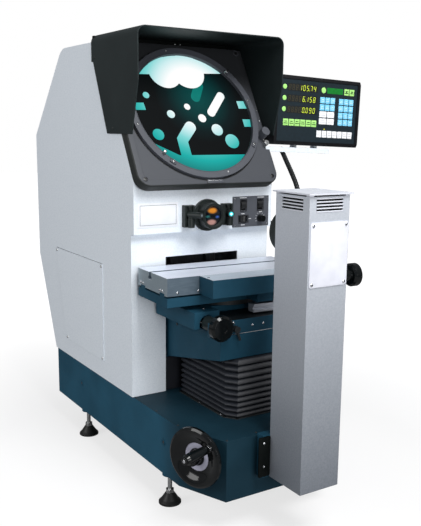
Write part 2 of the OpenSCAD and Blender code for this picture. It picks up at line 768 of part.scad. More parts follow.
focus_rear = -85;
focus_axis_x = -99;
front_plate_t = 10;
focus_housing_r = 15;
focus_housing_len = 40;
module focus_base() color(navy) difference() {
    union() {
        box([-focus_x, knee_front_y, knee_top], [focus_x, focus_rear, focus_top]);
        box([focus_axis_x - 19, knee_front_y, knee_top], [-focus_x + cut, knee_front_y + front_plate_t,
            focus_top]);
        along_y(focus_axis_x, knee_front_y, focus_axis_z)
            cylinder(r = focus_housing_r, h = focus_housing_len);
    }
    along_y(focus_axis_x, knee_front_y - cut, focus_axis_z)
        cylinder(r = focus_screw_r + fit, h = focus_housing_len + 2 * cut);
    translate([screw_x, screw_y, knee_top - cut]) cylinder(r = well_r, h = well_top - knee_top + cut);
    along_y(lock_x, knee_front_y - cut, lock_z) cylinder(r = lock_pin_r + fit, h = lock_depth + 2 * cut);
}

slide_rear = -86;
arm_front = -258;
right_arm_front = -222;
arch_x = 18;
arch_rear = -200;
swivel_pin_r = 12;
module focus_slide() color(navy) difference() {
    union() {
        box([-slide_x, right_arm_front, slide_low], [slide_x, slide_rear, slide_top]);
        box([-slide_x, arm_front, slide_low], [-focus_x - 2, right_arm_front + cut, slide_top]);
    }
    box([-focus_x - seat, arm_front - cut, slide_low - cut], [focus_x + seat, slide_rear + cut,
        focus_top + seat]);
    box([focus_axis_x - arch_x, arm_front - cut, slide_low - cut], [focus_axis_x + arch_x, arch_rear,
        focus_axis_z]);
    along_y(focus_axis_x, arm_front - cut, focus_axis_z - 1.5)
        cylinder(r = arch_x, h = arch_rear - arm_front + cut);
    along_y(focus_axis_x, arch_rear - cut, focus_axis_z) cylinder(r = focus_screw_r + fit, h = 92);
    translate([0, stage_y, slide_low]) cylinder(r = swivel_pin_r + fit, h = 60);
}

focus_screw_end = -152;
knob_gap = 0.5;
module focus_knob() color(black) {
    along_y(focus_axis_x, knee_front_y - knob_gap - focus_knob_len, focus_axis_z) rotate_extrude()
        polygon([[0, 2], [9, 2], [9, 0], [focus_knob_d / 2 - 5, 0], [focus_knob_d / 2, 5],
            [focus_knob_d / 2, focus_knob_len - 6], [focus_knob_d / 2 - 6, focus_knob_len], [0,
                focus_knob_len]]);
    along_y(focus_axis_x, knee_front_y - knob_gap - 6, focus_axis_z)
        cylinder(r = focus_screw_r, h = focus_screw_end - knee_front_y + knob_gap + 6);
}

lock_x = -58;
lock_z = 402;
lock_pin_r = 4;
lock_len = 26;
lock_depth = 16;
module focus_lock() color(bronze) {
    along_y(lock_x, knee_front_y - 14, lock_z) cylinder(r = lock_pin_r + 3, h = 14 - seat);
    along_y(lock_x, knee_front_y - 1, lock_z) cylinder(r = lock_pin_r, h = lock_depth);
    translate([lock_x, knee_front_y - 9, lock_z]) rotate([0, 160, 0]) cylinder(r = 3, h = lock_len);
}

module swivel_plate() color(steel) on_swivel() {
    translate([0, stage_y, slide_top + seat]) cylinder(r = swivel_r, h = swivel_t);
    translate([0, stage_y, focus_top + 2])
        cylinder(r = swivel_pin_r, h = slide_top + seat - focus_top - 2 + cut);
}

table_x = table_len / 2;
way_y = 48;
way_places = [stage_y - way_y, stage_y + way_y];
way_h = 4;
lug_x = [18, 58];
module saddle() color(navy) on_swivel() difference() {
    union() {
        box([-table_x, table_front, saddle_low], [table_x, table_rear, saddle_top]);
        for (y = way_places) box([-table_x, y - way_w / 2, saddle_top - cut], [table_x, y + way_w / 2,
            table_low + way_h]);
        box([lug_x[0], feed_y - 14, saddle_low + 2], [lug_x[1], table_front + cut, saddle_top]);
        box([lug_x[0], feed_y - 14, saddle_top - cut], [lug_x[1], feed_y + 14, feed_z + 13]);
    }
    along_x(lug_x[0] - cut, feed_y, feed_z) cylinder(r = feed_r + fit, h = lug_x[1] - lug_x[0] + 2 * cut);
}

scale_x = [10, 160];
scale_h = 18;
scale_d = 22;
scale_y = table_front - 42;
scale_tab = 3;
scale_tab_start = 50;
scale_tab_lap = 12;
scale_groove = 4;
scale_lip = 6;
module x_scale() color(silver) on_swivel() difference() {
    union() {
        box([scale_x[0], scale_y, saddle_low - scale_h - scale_tab],
            [scale_x[1], scale_y + scale_d, saddle_low - scale_tab]);
        box([scale_x[0] + scale_tab_start, scale_y, saddle_low - scale_tab - cut],
            [scale_x[1], table_front + scale_tab_lap, saddle_low]);
    }
    box([scale_x[0] - cut, scale_y - cut, saddle_low - scale_h - scale_tab + scale_lip],
        [scale_x[1] + cut, scale_y + scale_groove, saddle_low - scale_tab - scale_lip]);
}

module work_table() color(steel) on_swivel() difference() {
    box([-table_x, table_front, table_low], [table_x, table_rear, table_top]);
    for (y = way_places) box([-table_x - cut, y - way_w / 2 - seat, table_low - cut],
        [table_x + cut, y + way_w / 2 + seat, table_low + way_h + seat]);
    box([-table_x - cut, slot_y - slot_w / 2, table_top - slot_depth], [table_x + cut,
        slot_y + slot_w / 2, table_top + cut]);
    box([-table_x - cut, slot_y - slot_foot_w / 2, table_top - slot_depth],
        [table_x + cut, slot_y + slot_foot_w / 2, table_top - slot_depth + 8]);
}

tapped_r = 3.4;
tapped_depth = 14;
apron_end = 17;
tapped_x = [apron_left + 8, apron_right - 8];
module table_apron() color(navy) on_swivel() difference() {
    box([apron_left, apron_front, table_low], [apron_right, table_front - seat, table_top]);
    box([apron_left + apron_end, apron_front + apron_wall, table_low - cut],
        [apron_right - apron_end, table_front - apron_wall, table_top - apron_wall]);
    along_x(apron_left + 4, feed_y, feed_z) cylinder(r = feed_r + fit, h = apron_right - apron_left);
    for (x = tapped_x) translate([x, feed_y + 4, table_top - tapped_depth])
        cylinder(r = tapped_r, h = tapped_depth + cut);
}
module x_screw() color(steel) on_swivel() along_x(apron_left + 5, feed_y, feed_z)
    cylinder(r = feed_r, h = feed_knob_x + 10 - apron_left - 5);
module x_knob() color(black) on_swivel() along_x(feed_knob_x, feed_y, feed_z) rotate_extrude()
    polygon([[feed_r + fit, -14], [13, -14], [15, 0], [feed_knob_d / 2 - 4, 0], [feed_knob_d / 2, 5],
        [feed_knob_d / 2, feed_knob_len - 4], [feed_knob_d / 2 - 5, feed_knob_len], [0, feed_knob_len],
        [0, 10 + seat], [feed_r + fit, 10 + seat]]);

// Elevation drive
screw_top = 350;
module lead_screw() color(steel) translate([screw_x, screw_y, 0]) {
    translate([0, 0, foot_h + bottom_t + seat])
        cylinder(r = journal_r, h = base_z - base_top - bearing_boss_h - foot_h - bottom_t);
    translate([0, 0, base_z - base_top - bearing_boss_h - seat])
        cylinder(r = screw_r, h = screw_top - base_z + base_top + bearing_boss_h + seat);
}

// Involute flank, from the base circle out to angle t
function flank(rb, t) = rb * [cos(t) + t * PI / 180 * sin(t), sin(t) - t * PI / 180 * cos(t)];
function polar(p, a) = [p[0] * cos(a) - p[1] * sin(a), p[0] * sin(a) + p[1] * cos(a)];
bevel_m = 2 * bevel_r / bevel_teeth;
bevel_pressure = 20;
bevel_base_r = bevel_r * cos(bevel_pressure);
bevel_tip_r = bevel_r + 0.85 * bevel_m;
bevel_root_r = bevel_r - 1.35 * bevel_m;
bevel_slack = 1.6;
function tooth(a) = let (
        reach = acos(bevel_base_r / bevel_tip_r), end = tan(reach) * 180 / PI,
        roll = tan(bevel_pressure) * 180 / PI - bevel_pressure,
        half = 90 / bevel_teeth + roll - bevel_slack
    ) concat(
        [polar([bevel_root_r, 0], a - half)],
        [for (i = [0 : 3]) polar(flank(bevel_base_r, end * i / 3), a - half)],
        [for (i = [3 : -1 : 0]) let (f = flank(bevel_base_r, end * i / 3)) polar([f[0], -f[1]], a + half)],
        [polar([bevel_root_r, 0], a + half)]
    );
bevel_back = 8;
// Outer end down at z = 0, apex of the pitch cone at z = bevel_r
module bevel_blank(turn) {
    linear_extrude(bevel_face, scale = (bevel_r - bevel_face) / bevel_r)
        polygon([for (i = [0 : bevel_teeth - 1]) each tooth(turn + i * 360 / bevel_teeth)]);
    translate([0, 0, -bevel_back]) cylinder(r = bevel_root_r - 1, h = bevel_back + 1);
}
module bevel_gear() color(iron) translate([screw_x, screw_y, wheel_z - bevel_r]) difference() {
    bevel_blank(facet_a);
    translate([0, 0, -bevel_back - cut])
        cylinder(r = journal_r + fit, h = bevel_back + bevel_face + 2 * cut);
}

sleeve_r = 15;
sleeve_len = 40;
bearing_t = 6;
module wheel_bearing() color(steel) on_facet() difference() {
    union() {
        cylinder(r = 30, h = bearing_t);
        translate([0, 0, -sleeve_len]) cylinder(r = sleeve_r, h = sleeve_len + cut);
    }
    translate([0, 0, -sleeve_len - cut])
        cylinder(r = journal_r + fit, h = sleeve_len + bearing_t + 2 * cut);
}
hub_low = bearing_t + seat;
hub_len = 34;
module pinion_shaft() color(steel) on_facet() {
    translate([0, 0, -shaft_len + bevel_r])
        cylinder(r = journal_r, h = shaft_len - bevel_r + hub_low + hub_len - 6);
    translate([0, 0, -shaft_len + bevel_r]) mirror([0, 0, 1]) bevel_blank(180 / bevel_teeth);
}

wheel_r = wheel_d / 2;
rim_z = 24;
web_t = 5;
spindle_r = 4;
grip_a = 130.5;
grip_z = rim_z + rim_r + 2;
module handwheel() color(black) on_facet() {
    rotate_extrude() difference() {
        union() {
            polygon([[0, hub_low + hub_len], [16, hub_low + hub_len], [20, hub_low + hub_len - 5], [20,
                rim_z],
                [wheel_r - rim_r, rim_z], [wheel_r - rim_r, rim_z - web_t], [20, rim_z - web_t - 3], [20,
                    hub_low], [0, hub_low]]);
            translate([wheel_r - rim_r, rim_z - 2]) circle(r = rim_r);
        }
        translate([0, hub_low - cut]) square([journal_r + fit, hub_len - 5 + cut]);
    }
    rotate([0, 0, grip_a]) translate([grip_pitch, 0, rim_z - cut]) {
        cylinder(r = spindle_r, h = grip_z + grip_len + 2 - rim_z + cut);
        translate([0, 0, grip_z - rim_z + cut + grip_len + seat]) cylinder(r = spindle_r + 3, h = 4);
        cylinder(r = spindle_r + 3, h = grip_z - rim_z + cut - seat);
    }
}
module wheel_grip() color(black) on_facet() rotate([0, 0, grip_a]) translate([grip_pitch, 0, grip_z])
    rotate_extrude()
    polygon([[spindle_r + fit, 0], [grip_r - 3, 0], [grip_r - 2, 6], [grip_r - 1, grip_len * 0.3],
        [grip_r, grip_len * 0.7],
        [grip_r, grip_len - 6], [grip_r - 3, grip_len], [spindle_r + fit, grip_len]]);

// Bellows: one ring of corner points for each crest and root
bellows_chamfer = [17, 24];
function bellows_ring(d, z) = let (
        x = bellows_w / 2 - d, f = bellows_front + d, r = bellows_rear - d,
        c = bellows_chamfer[0], e = bellows_chamfer[1]
    ) [[-x, r, z], [-x, f + e, z], [-x + c, f, z], [x - c, f, z], [x, f + e, z], [x, r, z]];
bellows_low = base_z + seat;
bellows_skin = 6;
bellows_high = knee_low + knee_slope * (bellows_front + pleat_depth + bellows_skin - knee_front_y) - seat;
bellows_step = (bellows_high - bellows_low) / (2 * pleat_n);
bellows_points = [for (i = [0 : 2 * pleat_n]) each bellows_ring(i % 2 == 0 ? pleat_depth : 0,
    bellows_low + i * bellows_step)];
bellows_faces = concat(
    [[for (k = [0 : 5]) k]],
    [for (i = [0 : 2 * pleat_n - 1], k = [0 : 5]) [6 * i + k, 6 * i + 6 + k, 6 * i + 6 + (k + 1) % 6,
        6 * i + (k + 1) % 6]],
    [[for (k = [5 : -1 : 0]) 12 * pleat_n + k]]
);
cover_y = front_y + cab_wall + 1;
cover_t = 6;
cover_high = knee_deep - 5;
module bellows() color(black) {
    difference() {
        polyhedron(bellows_points, bellows_faces);
        box([-bellows_w / 2 + pleat_depth + bellows_skin, bellows_front + pleat_depth + bellows_skin, base_z],
            [bellows_w / 2 - pleat_depth - bellows_skin, bellows_rear - pleat_depth - bellows_skin, knee_low]);
    }
    across(-gate_x + 2, gate_x - 2) polygon(concat(
        [[cover_y + cover_t, base_z + seat], [cover_y + cover_t, cover_high]],
        [for (i = [2 * pleat_n : -1 : 0])
            [cover_y + (i % 2) * cover_t / 2,
                base_z + seat + (cover_high - base_z - seat) * i / (2 * pleat_n)]]
    ));
}

// Head fittings
block_w = 26;
block_h = 50;
block_t = 14;
block_x = 52;
boss_y = head_y - block_t - 6;
boss_r = 8;
boss_top = axis_z - 6;
lamp_pin_r = 3;
module illuminator_brackets() color(black) for (s = [-1, 1]) translate([s * block_x, 0, 0]) difference() {
    union() {
        box([-block_w / 2, head_y - block_t, axis_z - block_h / 2], [block_w / 2, head_y,
            axis_z + block_h / 2]);
        translate([0, boss_y, axis_z - block_h / 2])
            cylinder(r = boss_r, h = boss_top - axis_z + block_h / 2);
    }
    translate([0, boss_y, boss_top - 14]) cylinder(r = lamp_pin_r + fit, h = 14 + cut);
    box([-boss_r - 1, boss_y - boss_r - 1, boss_top], [boss_r + 1, boss_y + boss_r + 2, axis_z + 22]);
}
lamp_r = 7;
lamp_len = 34;
lamp_aim = 25;
module illuminator(side) color(black) translate([side * block_x, boss_y, boss_top]) {
    translate([0, 0, -12]) cylinder(r = lamp_pin_r, h = 13);
    translate([0, 0, seat]) cylinder(r = boss_r - 1, h = 5);
    translate([0, 0, seat + 5 + lamp_r - 2]) rotate([90, 0, side * -lamp_aim]) translate([0, 0, -6])
        cylinder(r = lamp_r, h = lamp_len);
}
module left_illuminator() illuminator(-1);
module right_illuminator() illuminator(1);

rocker_places = [[controls_left + 29, controls_low + 52], [controls_left + 78, controls_low + 52],
    [controls_left + 29, controls_low + 19]];
dimmer_place = [controls_left + 78, controls_low + 19];
panel_front = head_y - controls_t;
rocker_axis_y = head_y + 4;
rocker_slot = rocker_r + seat;
module control_panel() color(charcoal) difference() {
    box([controls_left, panel_front, controls_low], [controls_left + controls_w, head_y,
        controls_low + controls_h]);
    for (i = [0 : 2]) rocker_hole(rocker_places[i], i == 2);
    along_y(dimmer_place[0], panel_front - cut, dimmer_place[1])
        cylinder(r = 3 + fit, h = controls_t + 2 * cut);
}
module rocker_hole(p, flat) translate([p[0], panel_front - cut, p[1]]) rotate([0, flat ? 90 : 0, 0])
    translate([-rocker_w / 2 - seat, 0, -rocker_slot]) cube([rocker_w + 2 * seat, controls_t + 2 * cut,
        2 * rocker_slot]);

// A barrel with two flats on its front, one of which is pressed in
module rocker(p, flat) color(black) translate([p[0], rocker_axis_y, p[1]]) rotate([0, flat ? 90 : 0, 0])
    rotate([rocker_lean, 0, 0]) difference() {
        along_x(-rocker_w / 2, 0, 0) cylinder(r = rocker_r, h = rocker_w);
        for (s = [-1, 1]) translate([0, -rocker_r + 1, 0]) rotate([s * rocker_lean, 0, 0])
            translate([-rocker_w, -20, s > 0 ? 0 : -30]) cube([2 * rocker_w, 20, 30]);
        translate([-rocker_w, 3, -rocker_r]) cube([2 * rocker_w, rocker_r, 2 * rocker_r]);
    }
module lamp_rocker() rocker(rocker_places[0], false);
module surface_rocker() rocker(rocker_places[1], false);
module fan_rocker() rocker(rocker_places[2], true);
dimmer_len = 14;
module dimmer_knob() color(black) {
    along_y(dimmer_place[0], panel_front - seat - dimmer_len, dimmer_place[1])
        cylinder(r1 = dimmer_r - 1.5, r2 = dimmer_r, h = dimmer_len);
    along_y(dimmer_place[0], panel_front - 2, dimmer_place[1]) cylinder(r = 3, h = 16);
}

// Display: the arm's local x runs out from the cabinet, its local z up
arm_t = 12;
arm_d = 46;
arm_len = display_gap + display_w / 2 + 40;
display_low = arm_t / 2 + 6;
tilt_y = display_d / 2 + 12;
tilt_z = display_low + 24;
post_t = 8;
post_x = display_gap + display_w / 2;
post_span = 34;
tilt_r = 4;
module display_arm() color(white) on_arm() {
    difference() {
        union() {
            box([seat, -arm_d / 2, -arm_t / 2], [arm_len, arm_d, arm_t / 2]);
            for (s = [-1, 1]) translate([post_x + s * post_span - post_t / 2, 0, 0]) {
                box([0, tilt_y - 9, 0], [post_t, tilt_y + 9, tilt_z]);
                along_x(0, tilt_y, tilt_z) cylinder(r = 9, h = post_t);
            }
        }
        box([6, -arm_d / 2 + 4, -arm_t / 2 - cut], [arm_len - 6, arm_d - 4, arm_t / 2 - 4]);
    }
    along_x(post_x - post_span, tilt_y, tilt_z) cylinder(r = tilt_r, h = 2 * post_span);
}
display_bevel = 8;
module display_console() color(black) on_arm() difference() {
    union() {
        translate([display_gap, -display_d / 2, display_low]) rotate([90, 0, 90]) linear_extrude(display_w)
            polygon([[display_bevel / 2, 0], [display_d, 0], [display_d, display_h], [display_bevel / 2,
                display_h], [0, display_h - display_bevel], [0, display_bevel]]);
        along_x(post_x - post_span + post_t / 2 + seat, tilt_y, tilt_z)
            cylinder(r = 8, h = 2 * post_span - post_t - 2 * seat);
        box([post_x - post_span + post_t / 2 + seat, display_d / 2 - cut, tilt_z - 8],
            [post_x + post_span - post_t / 2 - seat, tilt_y, tilt_z + 8]);
    }
    along_x(post_x - post_span, tilt_y, tilt_z) cylinder(r = tilt_r + fit, h = 2 * post_span);
    translate([display_gap + 9, -display_d / 2 - cut, display_low + 9])
        cube([display_w - 18, 2 + cut, display_h - 18]);
}

// Display cable, a loop from the arm's underside to the cabinet's side
cable_route = [
    [253, -36, 769], [250.5, -47, 759.5], [246, -63, 747], [241, -81, 733], [235.5, -100, 719],
    [230, -119, 704], [225, -137, 688], [220, -153, 669], [216, -163, 647], [213, -165, 624],
    [211, -157, 602], [210, -140, 585], [209, -117, 576], [207, -93, 577], [204, -70, 584],
    [200, -49, 595], [194.5, -31, 608], [187.5, -15, 622]
];
cable_sides = 10;
module display_cable() color(black) polyhedron(
    [for (i = [0 : len(cable_route) - 1]) each cable_ring(i)],
    concat(
        [[for (k = [cable_sides - 1 : -1 : 0]) k]],
        [for (i = [0 : len(cable_route) - 2], k = [0 : cable_sides - 1])
            [cable_sides * i + k, cable_sides * i + (k + 1) % cable_sides,
                cable_sides * (i + 1) + (k + 1) % cable_sides, cable_sides * (i + 1) + k]],
        [[for (k = [0 : cable_sides - 1]) cable_sides * (len(cable_route) - 1) + k]]
    )
);
function unit(v) = v / norm(v);
function cable_ring(i) = let (
        n = len(cable_route),
        t = unit(cable_route[min(i + 1, n - 1)] - cable_route[max(i - 1, 0)]),
        a = unit(cross([1, 0.2, 0], t)), b = cross(t, a)
    ) [for (k = [0 : cable_sides - 1])
        cable_route[i] + cable_d / 2 * (cos(k * 360 / cable_sides) * a + sin(k * 360 / cable_sides) * b)];

base_casting();
bottom_plate();
foot_pads();
foot_studs();
cabinet_shell();
access_panels();
rear_panel();
power_inlet();
screen_bezel();
screen_hood();
lens_mount();
objective_lens();
column();
guide_rails();
folding_mirror();
mirror_bracket();
power_supply();
lamp_tower();
tower_cap();
tower_bracket();
condenser_barrel();
condenser_lens();
lamp_holder();
lamp_bulb();
control_panel();
display_arm();
display_cable();
wheel_bearing();
bellows();
illuminator_brackets();
knee_casting();
knee_trucks();
knee_nut();
focus_base();
focus_slide();
focus_knob();
focus_lock();
swivel_plate();
saddle();
x_scale();
work_table();
table_apron();
x_screw();
x_knob();
lead_screw();
bevel_gear();
handwheel();
pinion_shaft();
wheel_grip();
screen_ring();
screen_glass();
ring_knob();
ring_clamp();
lamp_rocker();
surface_rocker();
fan_rocker();
dimmer_knob();
display_console();
left_illuminator();
right_illuminator();
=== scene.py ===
import math

import bmesh
import bpy
from mathutils import Matrix, Vector


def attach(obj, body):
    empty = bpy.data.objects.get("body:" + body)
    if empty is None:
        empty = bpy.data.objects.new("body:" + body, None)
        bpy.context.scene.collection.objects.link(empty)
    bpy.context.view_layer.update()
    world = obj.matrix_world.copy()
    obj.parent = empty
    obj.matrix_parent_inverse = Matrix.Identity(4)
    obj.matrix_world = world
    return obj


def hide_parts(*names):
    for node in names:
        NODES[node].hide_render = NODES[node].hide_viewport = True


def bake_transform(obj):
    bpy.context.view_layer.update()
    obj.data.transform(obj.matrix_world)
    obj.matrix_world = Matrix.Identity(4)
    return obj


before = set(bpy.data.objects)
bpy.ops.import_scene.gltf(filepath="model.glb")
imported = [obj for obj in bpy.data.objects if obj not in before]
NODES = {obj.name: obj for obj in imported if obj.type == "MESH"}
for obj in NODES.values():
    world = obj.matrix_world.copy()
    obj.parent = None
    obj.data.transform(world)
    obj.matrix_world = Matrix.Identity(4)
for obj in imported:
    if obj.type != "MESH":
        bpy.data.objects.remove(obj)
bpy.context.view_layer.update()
MM = 0.001
UP = (0, 0, 1)

# Camera at the photograph's viewing angle
PHOTO_W = 421
PHOTO_H = 526
FOCAL_PX = 763.79
CENTRE_PX = (225, 275)
CAMERA_AT = (-0.9288, -1.6013, 0.818)
CAMERA_YAW = math.radians(33.051)
CAMERA_PITCH = math.radians(10.897)
CAMERA_ROLL = math.radians(-0.769)
SENSOR = 36
NEAREST = 0.05
FARTHEST = 60


def new_object(name, data):
    made = bpy.data.objects.new(name, data)
    bpy.context.scene.collection.objects.link(made)
    return made


def make_camera():
    data = bpy.data.cameras.new("camera")
    data.sensor_fit = "AUTO"
    data.sensor_width = SENSOR
    data.lens = FOCAL_PX * SENSOR / PHOTO_H
    data.shift_x = (PHOTO_W / 2 - CENTRE_PX[0]) / PHOTO_H
    data.shift_y = (CENTRE_PX[1] - PHOTO_H / 2) / PHOTO_H
    data.clip_start = NEAREST
    data.clip_end = FARTHEST
    level = Vector((math.cos(CAMERA_YAW), -math.sin(CAMERA_YAW), 0))
    ahead = Vector((
        math.sin(CAMERA_YAW) * math.cos(CAMERA_PITCH),
        math.cos(CAMERA_YAW) * math.cos(CAMERA_PITCH),
        -math.sin(CAMERA_PITCH),
    ))
    below = ahead.cross(level)
    right = math.cos(CAMERA_ROLL) * level + math.sin(CAMERA_ROLL) * below
    down = -math.sin(CAMERA_ROLL) * level + math.cos(CAMERA_ROLL) * below
    turn = Matrix((right, -down, -ahead)).transposed().to_4x4()
    camera = new_object("camera", data)
    camera.matrix_world = Matrix.Translation(CAMERA_AT) @ turn
    bpy.context.scene.camera = camera


make_camera()


# Colours are written as sRGB, 0 to 255
def srgb(red, green, blue):
    def linear(level):
        level /= 255
        return level / 12.92 if level <= 0.04045 else ((level + 0.055) / 1.055) ** 2.4
    return (linear(red), linear(green), linear(blue), 1)


WHITE = (255, 255, 255)
BLACK = (0, 0, 0)
EDGE = 1.2 * MM
HIGHLIGHT_REACH = 1.8 * MM
SAME_WAY = 0.9


class Nodes:
    """Adds nodes to the node tree of a material or a world."""

    def __init__(self, owner):
        owner.use_nodes = True
        self.tree = owner.node_tree

    def feed(self, value, target):
        """Links an output to an input, or sets the input to a plain value."""
        if isinstance(value, bpy.types.NodeSocket):
            self.tree.links.new(value, target)
        else:
            target.default_value = value

    def tint(self, value, target):
        """Feeds a colour, which is an output or three sRGB levels."""
        self.feed(srgb(*value) if isinstance(value, tuple) else value, target)

    def node(self, kind, **values):
        node = self.tree.nodes.new("ShaderNode" + kind)
        for name, value in values.items():
            self.feed(value, node.inputs[name])
        return node

    def compute(self, kind, operation, first, second):
        node = self.node(kind)
        node.operation = operation
        self.feed(first, node.inputs[0])
        self.feed(second, node.inputs[1])
        return node.outputs["Value"]


class Look(Nodes):
    """One procedural material: its nodes are added step by step to a Principled shader."""

    def __init__(self, name, roughness=0.5, metallic=0, gloss=0.5):
        self.material = bpy.data.materials.new(name)
        super().__init__(self.material)
        self.shader = self.tree.nodes["Principled BSDF"].inputs
        self.shader["Roughness"].default_value = roughness
        self.shader["Metallic"].default_value = metallic
        self.shader["Specular IOR Level"].default_value = gloss
        self.place = self.node("TexCoord").outputs["Object"]

    def span(self, value, low=0, high=1, start=0, end=1):
        """Carries a value from the range low to high over to the range start to end."""
        limits = {"From Min": low, "From Max": high, "To Min": start, "To Max": end}
        return self.node("MapRange", Value=value, **limits).outputs["Result"]

    def stretched(self, scale):
        return self.node("Mapping", Scale=scale, Vector=self.place).outputs["Vector"]

    def noise(self, scale, detail=3, where=None):
        return self.node("TexNoise", Scale=scale, Detail=detail, Vector=where or self.place).outputs["Fac"]

    def cells(self, scale):
        return self.node("TexVoronoi", Scale=scale, Vector=self.place).outputs["Distance"]

    def ramp(self, factor, stops):
        node = self.node("ValToRGB", Fac=factor)
        bar = node.color_ramp.elements
        while len(bar) < len(stops):
            bar.new(0.5)
        for step, (position, colour) in zip(bar, stops):
            step.position = position
            step.color = srgb(*colour)
        return node.outputs["Color"]

    def tones(self, factor, dark, light, low=0.35, high=0.65):
        return self.ramp(factor, [(low, dark), (high, light)])

    def blend(self, factor, first, second):
        mix = self.node("Mix")
        mix.data_type = "RGBA"
        self.feed(factor, mix.inputs["Factor"])
        self.tint(first, mix.inputs["A"])
        self.tint(second, mix.inputs["B"])
        return mix.outputs["Result"]

    def normal(self, kind="True Normal"):
        return self.node("NewGeometry").outputs[kind]

    def soft_normal(self, radius, samples):
        node = self.node("Bevel", Radius=radius)
        node.samples = samples
        return node.outputs["Normal"]

    def agreement(self, normal, direction):
        """How far a normal agrees with a direction, which is a vector or another normal."""
        return self.compute("VectorMath", "DOT_PRODUCT", normal, direction)

    def toward(self, direction):
        """1 on the faces that look in a direction, 0 on the others."""
        return self.compute("Math", "GREATER_THAN", self.agreement(self.normal(), direction), SAME_WAY)

    def rise(self, low, high, axis="Z"):
        """Runs from 0 at low to 1 at high along an axis."""
        return self.span(self.node("SeparateXYZ", Vector=self.place).outputs[axis], low, high)

    def distance(self, point, where=None):
        return self.compute("VectorMath", "DISTANCE", where or self.place, point)

    def colour(self, value):
        self.tint(value, self.shader["Base Color"])

    def roughness(self, factor, low, high):
        self.feed(self.span(factor, start=low, end=high), self.shader["Roughness"])

    def bump(self, height, strength, depth, edge=0):
        node = self.node("Bump", Strength=strength, Distance=depth, Height=height)
        if edge:
            self.feed(self.soft_normal(edge, 4), node.inputs["Normal"])
        self.feed(node.outputs["Normal"], self.shader["Normal"])

    def glow(self, colour, strength=1):
        self.tint(colour, self.shader["Emission Color"])
        self.feed(strength, self.shader["Emission Strength"])

    def two_faced(self, top, side, line):
        """One colour on the faces that look up, with a painted highlight line along their edges, another on
        the rest.
        """
        turn = self.agreement(self.soft_normal(HIGHLIGHT_REACH, 6), self.normal())
        lined = self.blend(self.tones(turn, WHITE, BLACK, 0.9, 0.985), top, line)
        self.colour(self.blend(self.toward(UP), side, lined))

    def paint_skin(self, roughness, grain, strength):
        """Fine grain of sprayed paint."""
        fine = self.noise(grain, 4)
        self.roughness(fine, roughness - 0.08, roughness + 0.1)
        self.bump(fine, strength, 0.35 * MM, EDGE)

    def moulded_skin(self, roughness, grain, strength):
        """Fine skin of moulded plastic, rubber or coated cloth."""
        fine = self.noise(grain, 2)
        self.roughness(fine, max(0.03, roughness - 0.05), roughness + 0.06)
        self.bump(fine, strength, 0.15 * MM, EDGE / 2)


# Finishes that run between a dark and a light tone
def paint(name, dark, light, roughness, grain, strength, gloss=0.35):
    """Textured paint with a slow drift in the colour."""
    look = Look(name, roughness, gloss=gloss)
    look.colour(look.tones(look.noise(9, 5), dark, light))
    look.paint_skin(roughness, grain, strength)
    return look.material


def plastic(name, dark, light, roughness, grain, strength, gloss=0.35):
    look = Look(name, roughness, gloss=gloss)
    look.colour(look.tones(look.noise(25, 4), dark, light))
    look.moulded_skin(roughness, grain, strength)
    return look.material


def metal(name, dark, light, roughness, stretch, strength=0.06, metallic=1):
    """Machined metal: fine lines along one way, in the bump, the gloss and the colour."""
    look = Look(name, roughness, metallic)
    lines = look.noise(1, 6, look.stretched(stretch))
    look.colour(look.tones(lines, dark, light))
    look.roughness(lines, roughness - 0.06, roughness + 0.12)
    look.bump(lines, strength, 0.1 * MM, EDGE)
    return look.material


def plain(
    name, dark, light, roughness=0.5, gloss=0.5, drift=40, grain=1500, strength=0.05, edge=0, glow=0
):
    """Even colour with a faint drift and grain, which may glow."""
    look = Look(name, roughness, gloss=gloss)
    tone = look.tones(look.noise(drift), dark, light)
    look.colour(tone)
    look.bump(look.noise(grain), strength, 0.1 * MM, edge)
    if glow:
        look.glow(tone, glow)
    return look.material


def key_cap(name, dark, light, glow=0):
    return plain(name, dark, light, 0.4, drift=120, grain=900, strength=0.04, edge=EDGE / 3, glow=glow)


NAVY_DARK = (24, 62, 80)
NAVY_LIGHT = (31, 72, 92)
# Painted highlight along the edges of bare steel tops
EDGE_HIGHLIGHT = (236, 241, 245)
BRUSHED = (6, 900, 900)
# Where a shade runs, in metres: along y on the base, upwards on the tower and the bezel
BASE_SHADE = (-0.33, -0.2)
TOWER_SHADE = (0.1, 0.7)
BEZEL_SHADE = (0.84, 0.93)
SCREEN_TILT = math.radians(29.5)
SCREEN_OUT = (0, -math.cos(SCREEN_TILT), math.sin(SCREEN_TILT))


def stipple_paint():
    """White structured paint: a leathery stipple of about three millimetres."""
    look = Look("cabinet_paint", 0.5, gloss=0.3)
    grain = look.noise(330, 5)
    look.colour(look.tones(grain, (222, 230, 238), (230, 237, 244), 0.38, 0.6))
    look.roughness(grain, 0.42, 0.6)
    look.bump(grain, 0.22, 0.5 * MM, EDGE)
    return look.material


def hammer_paint():
    """Silver paint with shallow hammered dimples, with painted shade that darkens it towards the floor."""
    look = Look("tower_paint", 0.42, 0.3)
    grain = look.noise(330, 4)
    low = look.tones(grain, (114, 120, 128), (124, 129, 137))
    high = look.tones(grain, (198, 204, 213), (208, 213, 221))
    # Painted shade: the dark tone low on the tower, the lit tone high up, over TOWER_SHADE
    look.colour(look.blend(look.rise(*TOWER_SHADE), low, high))
    look.roughness(look.noise(420), 0.34, 0.5)
    look.bump(look.cells(330), 0.12, 0.3 * MM, EDGE)
    return look.material


def base_paint():
    """Machine paint of the base, with painted shade on top and at the front."""
    look = Look("base_paint", 0.55, gloss=0.12)
    drift = look.noise(9, 5)
    front = look.tones(drift, (18, 44, 56), (24, 52, 65))
    rear = look.tones(drift, (28, 73, 94), (35, 84, 107))
    # Painted shade: darker towards the front over BASE_SHADE, and the front tone on the faces that look up
    side = look.blend(look.rise(*BASE_SHADE, "Y"), front, rear)
    look.colour(look.blend(look.toward(UP), side, front))
    look.paint_skin(0.55, 800, 0.25)
    return look.material


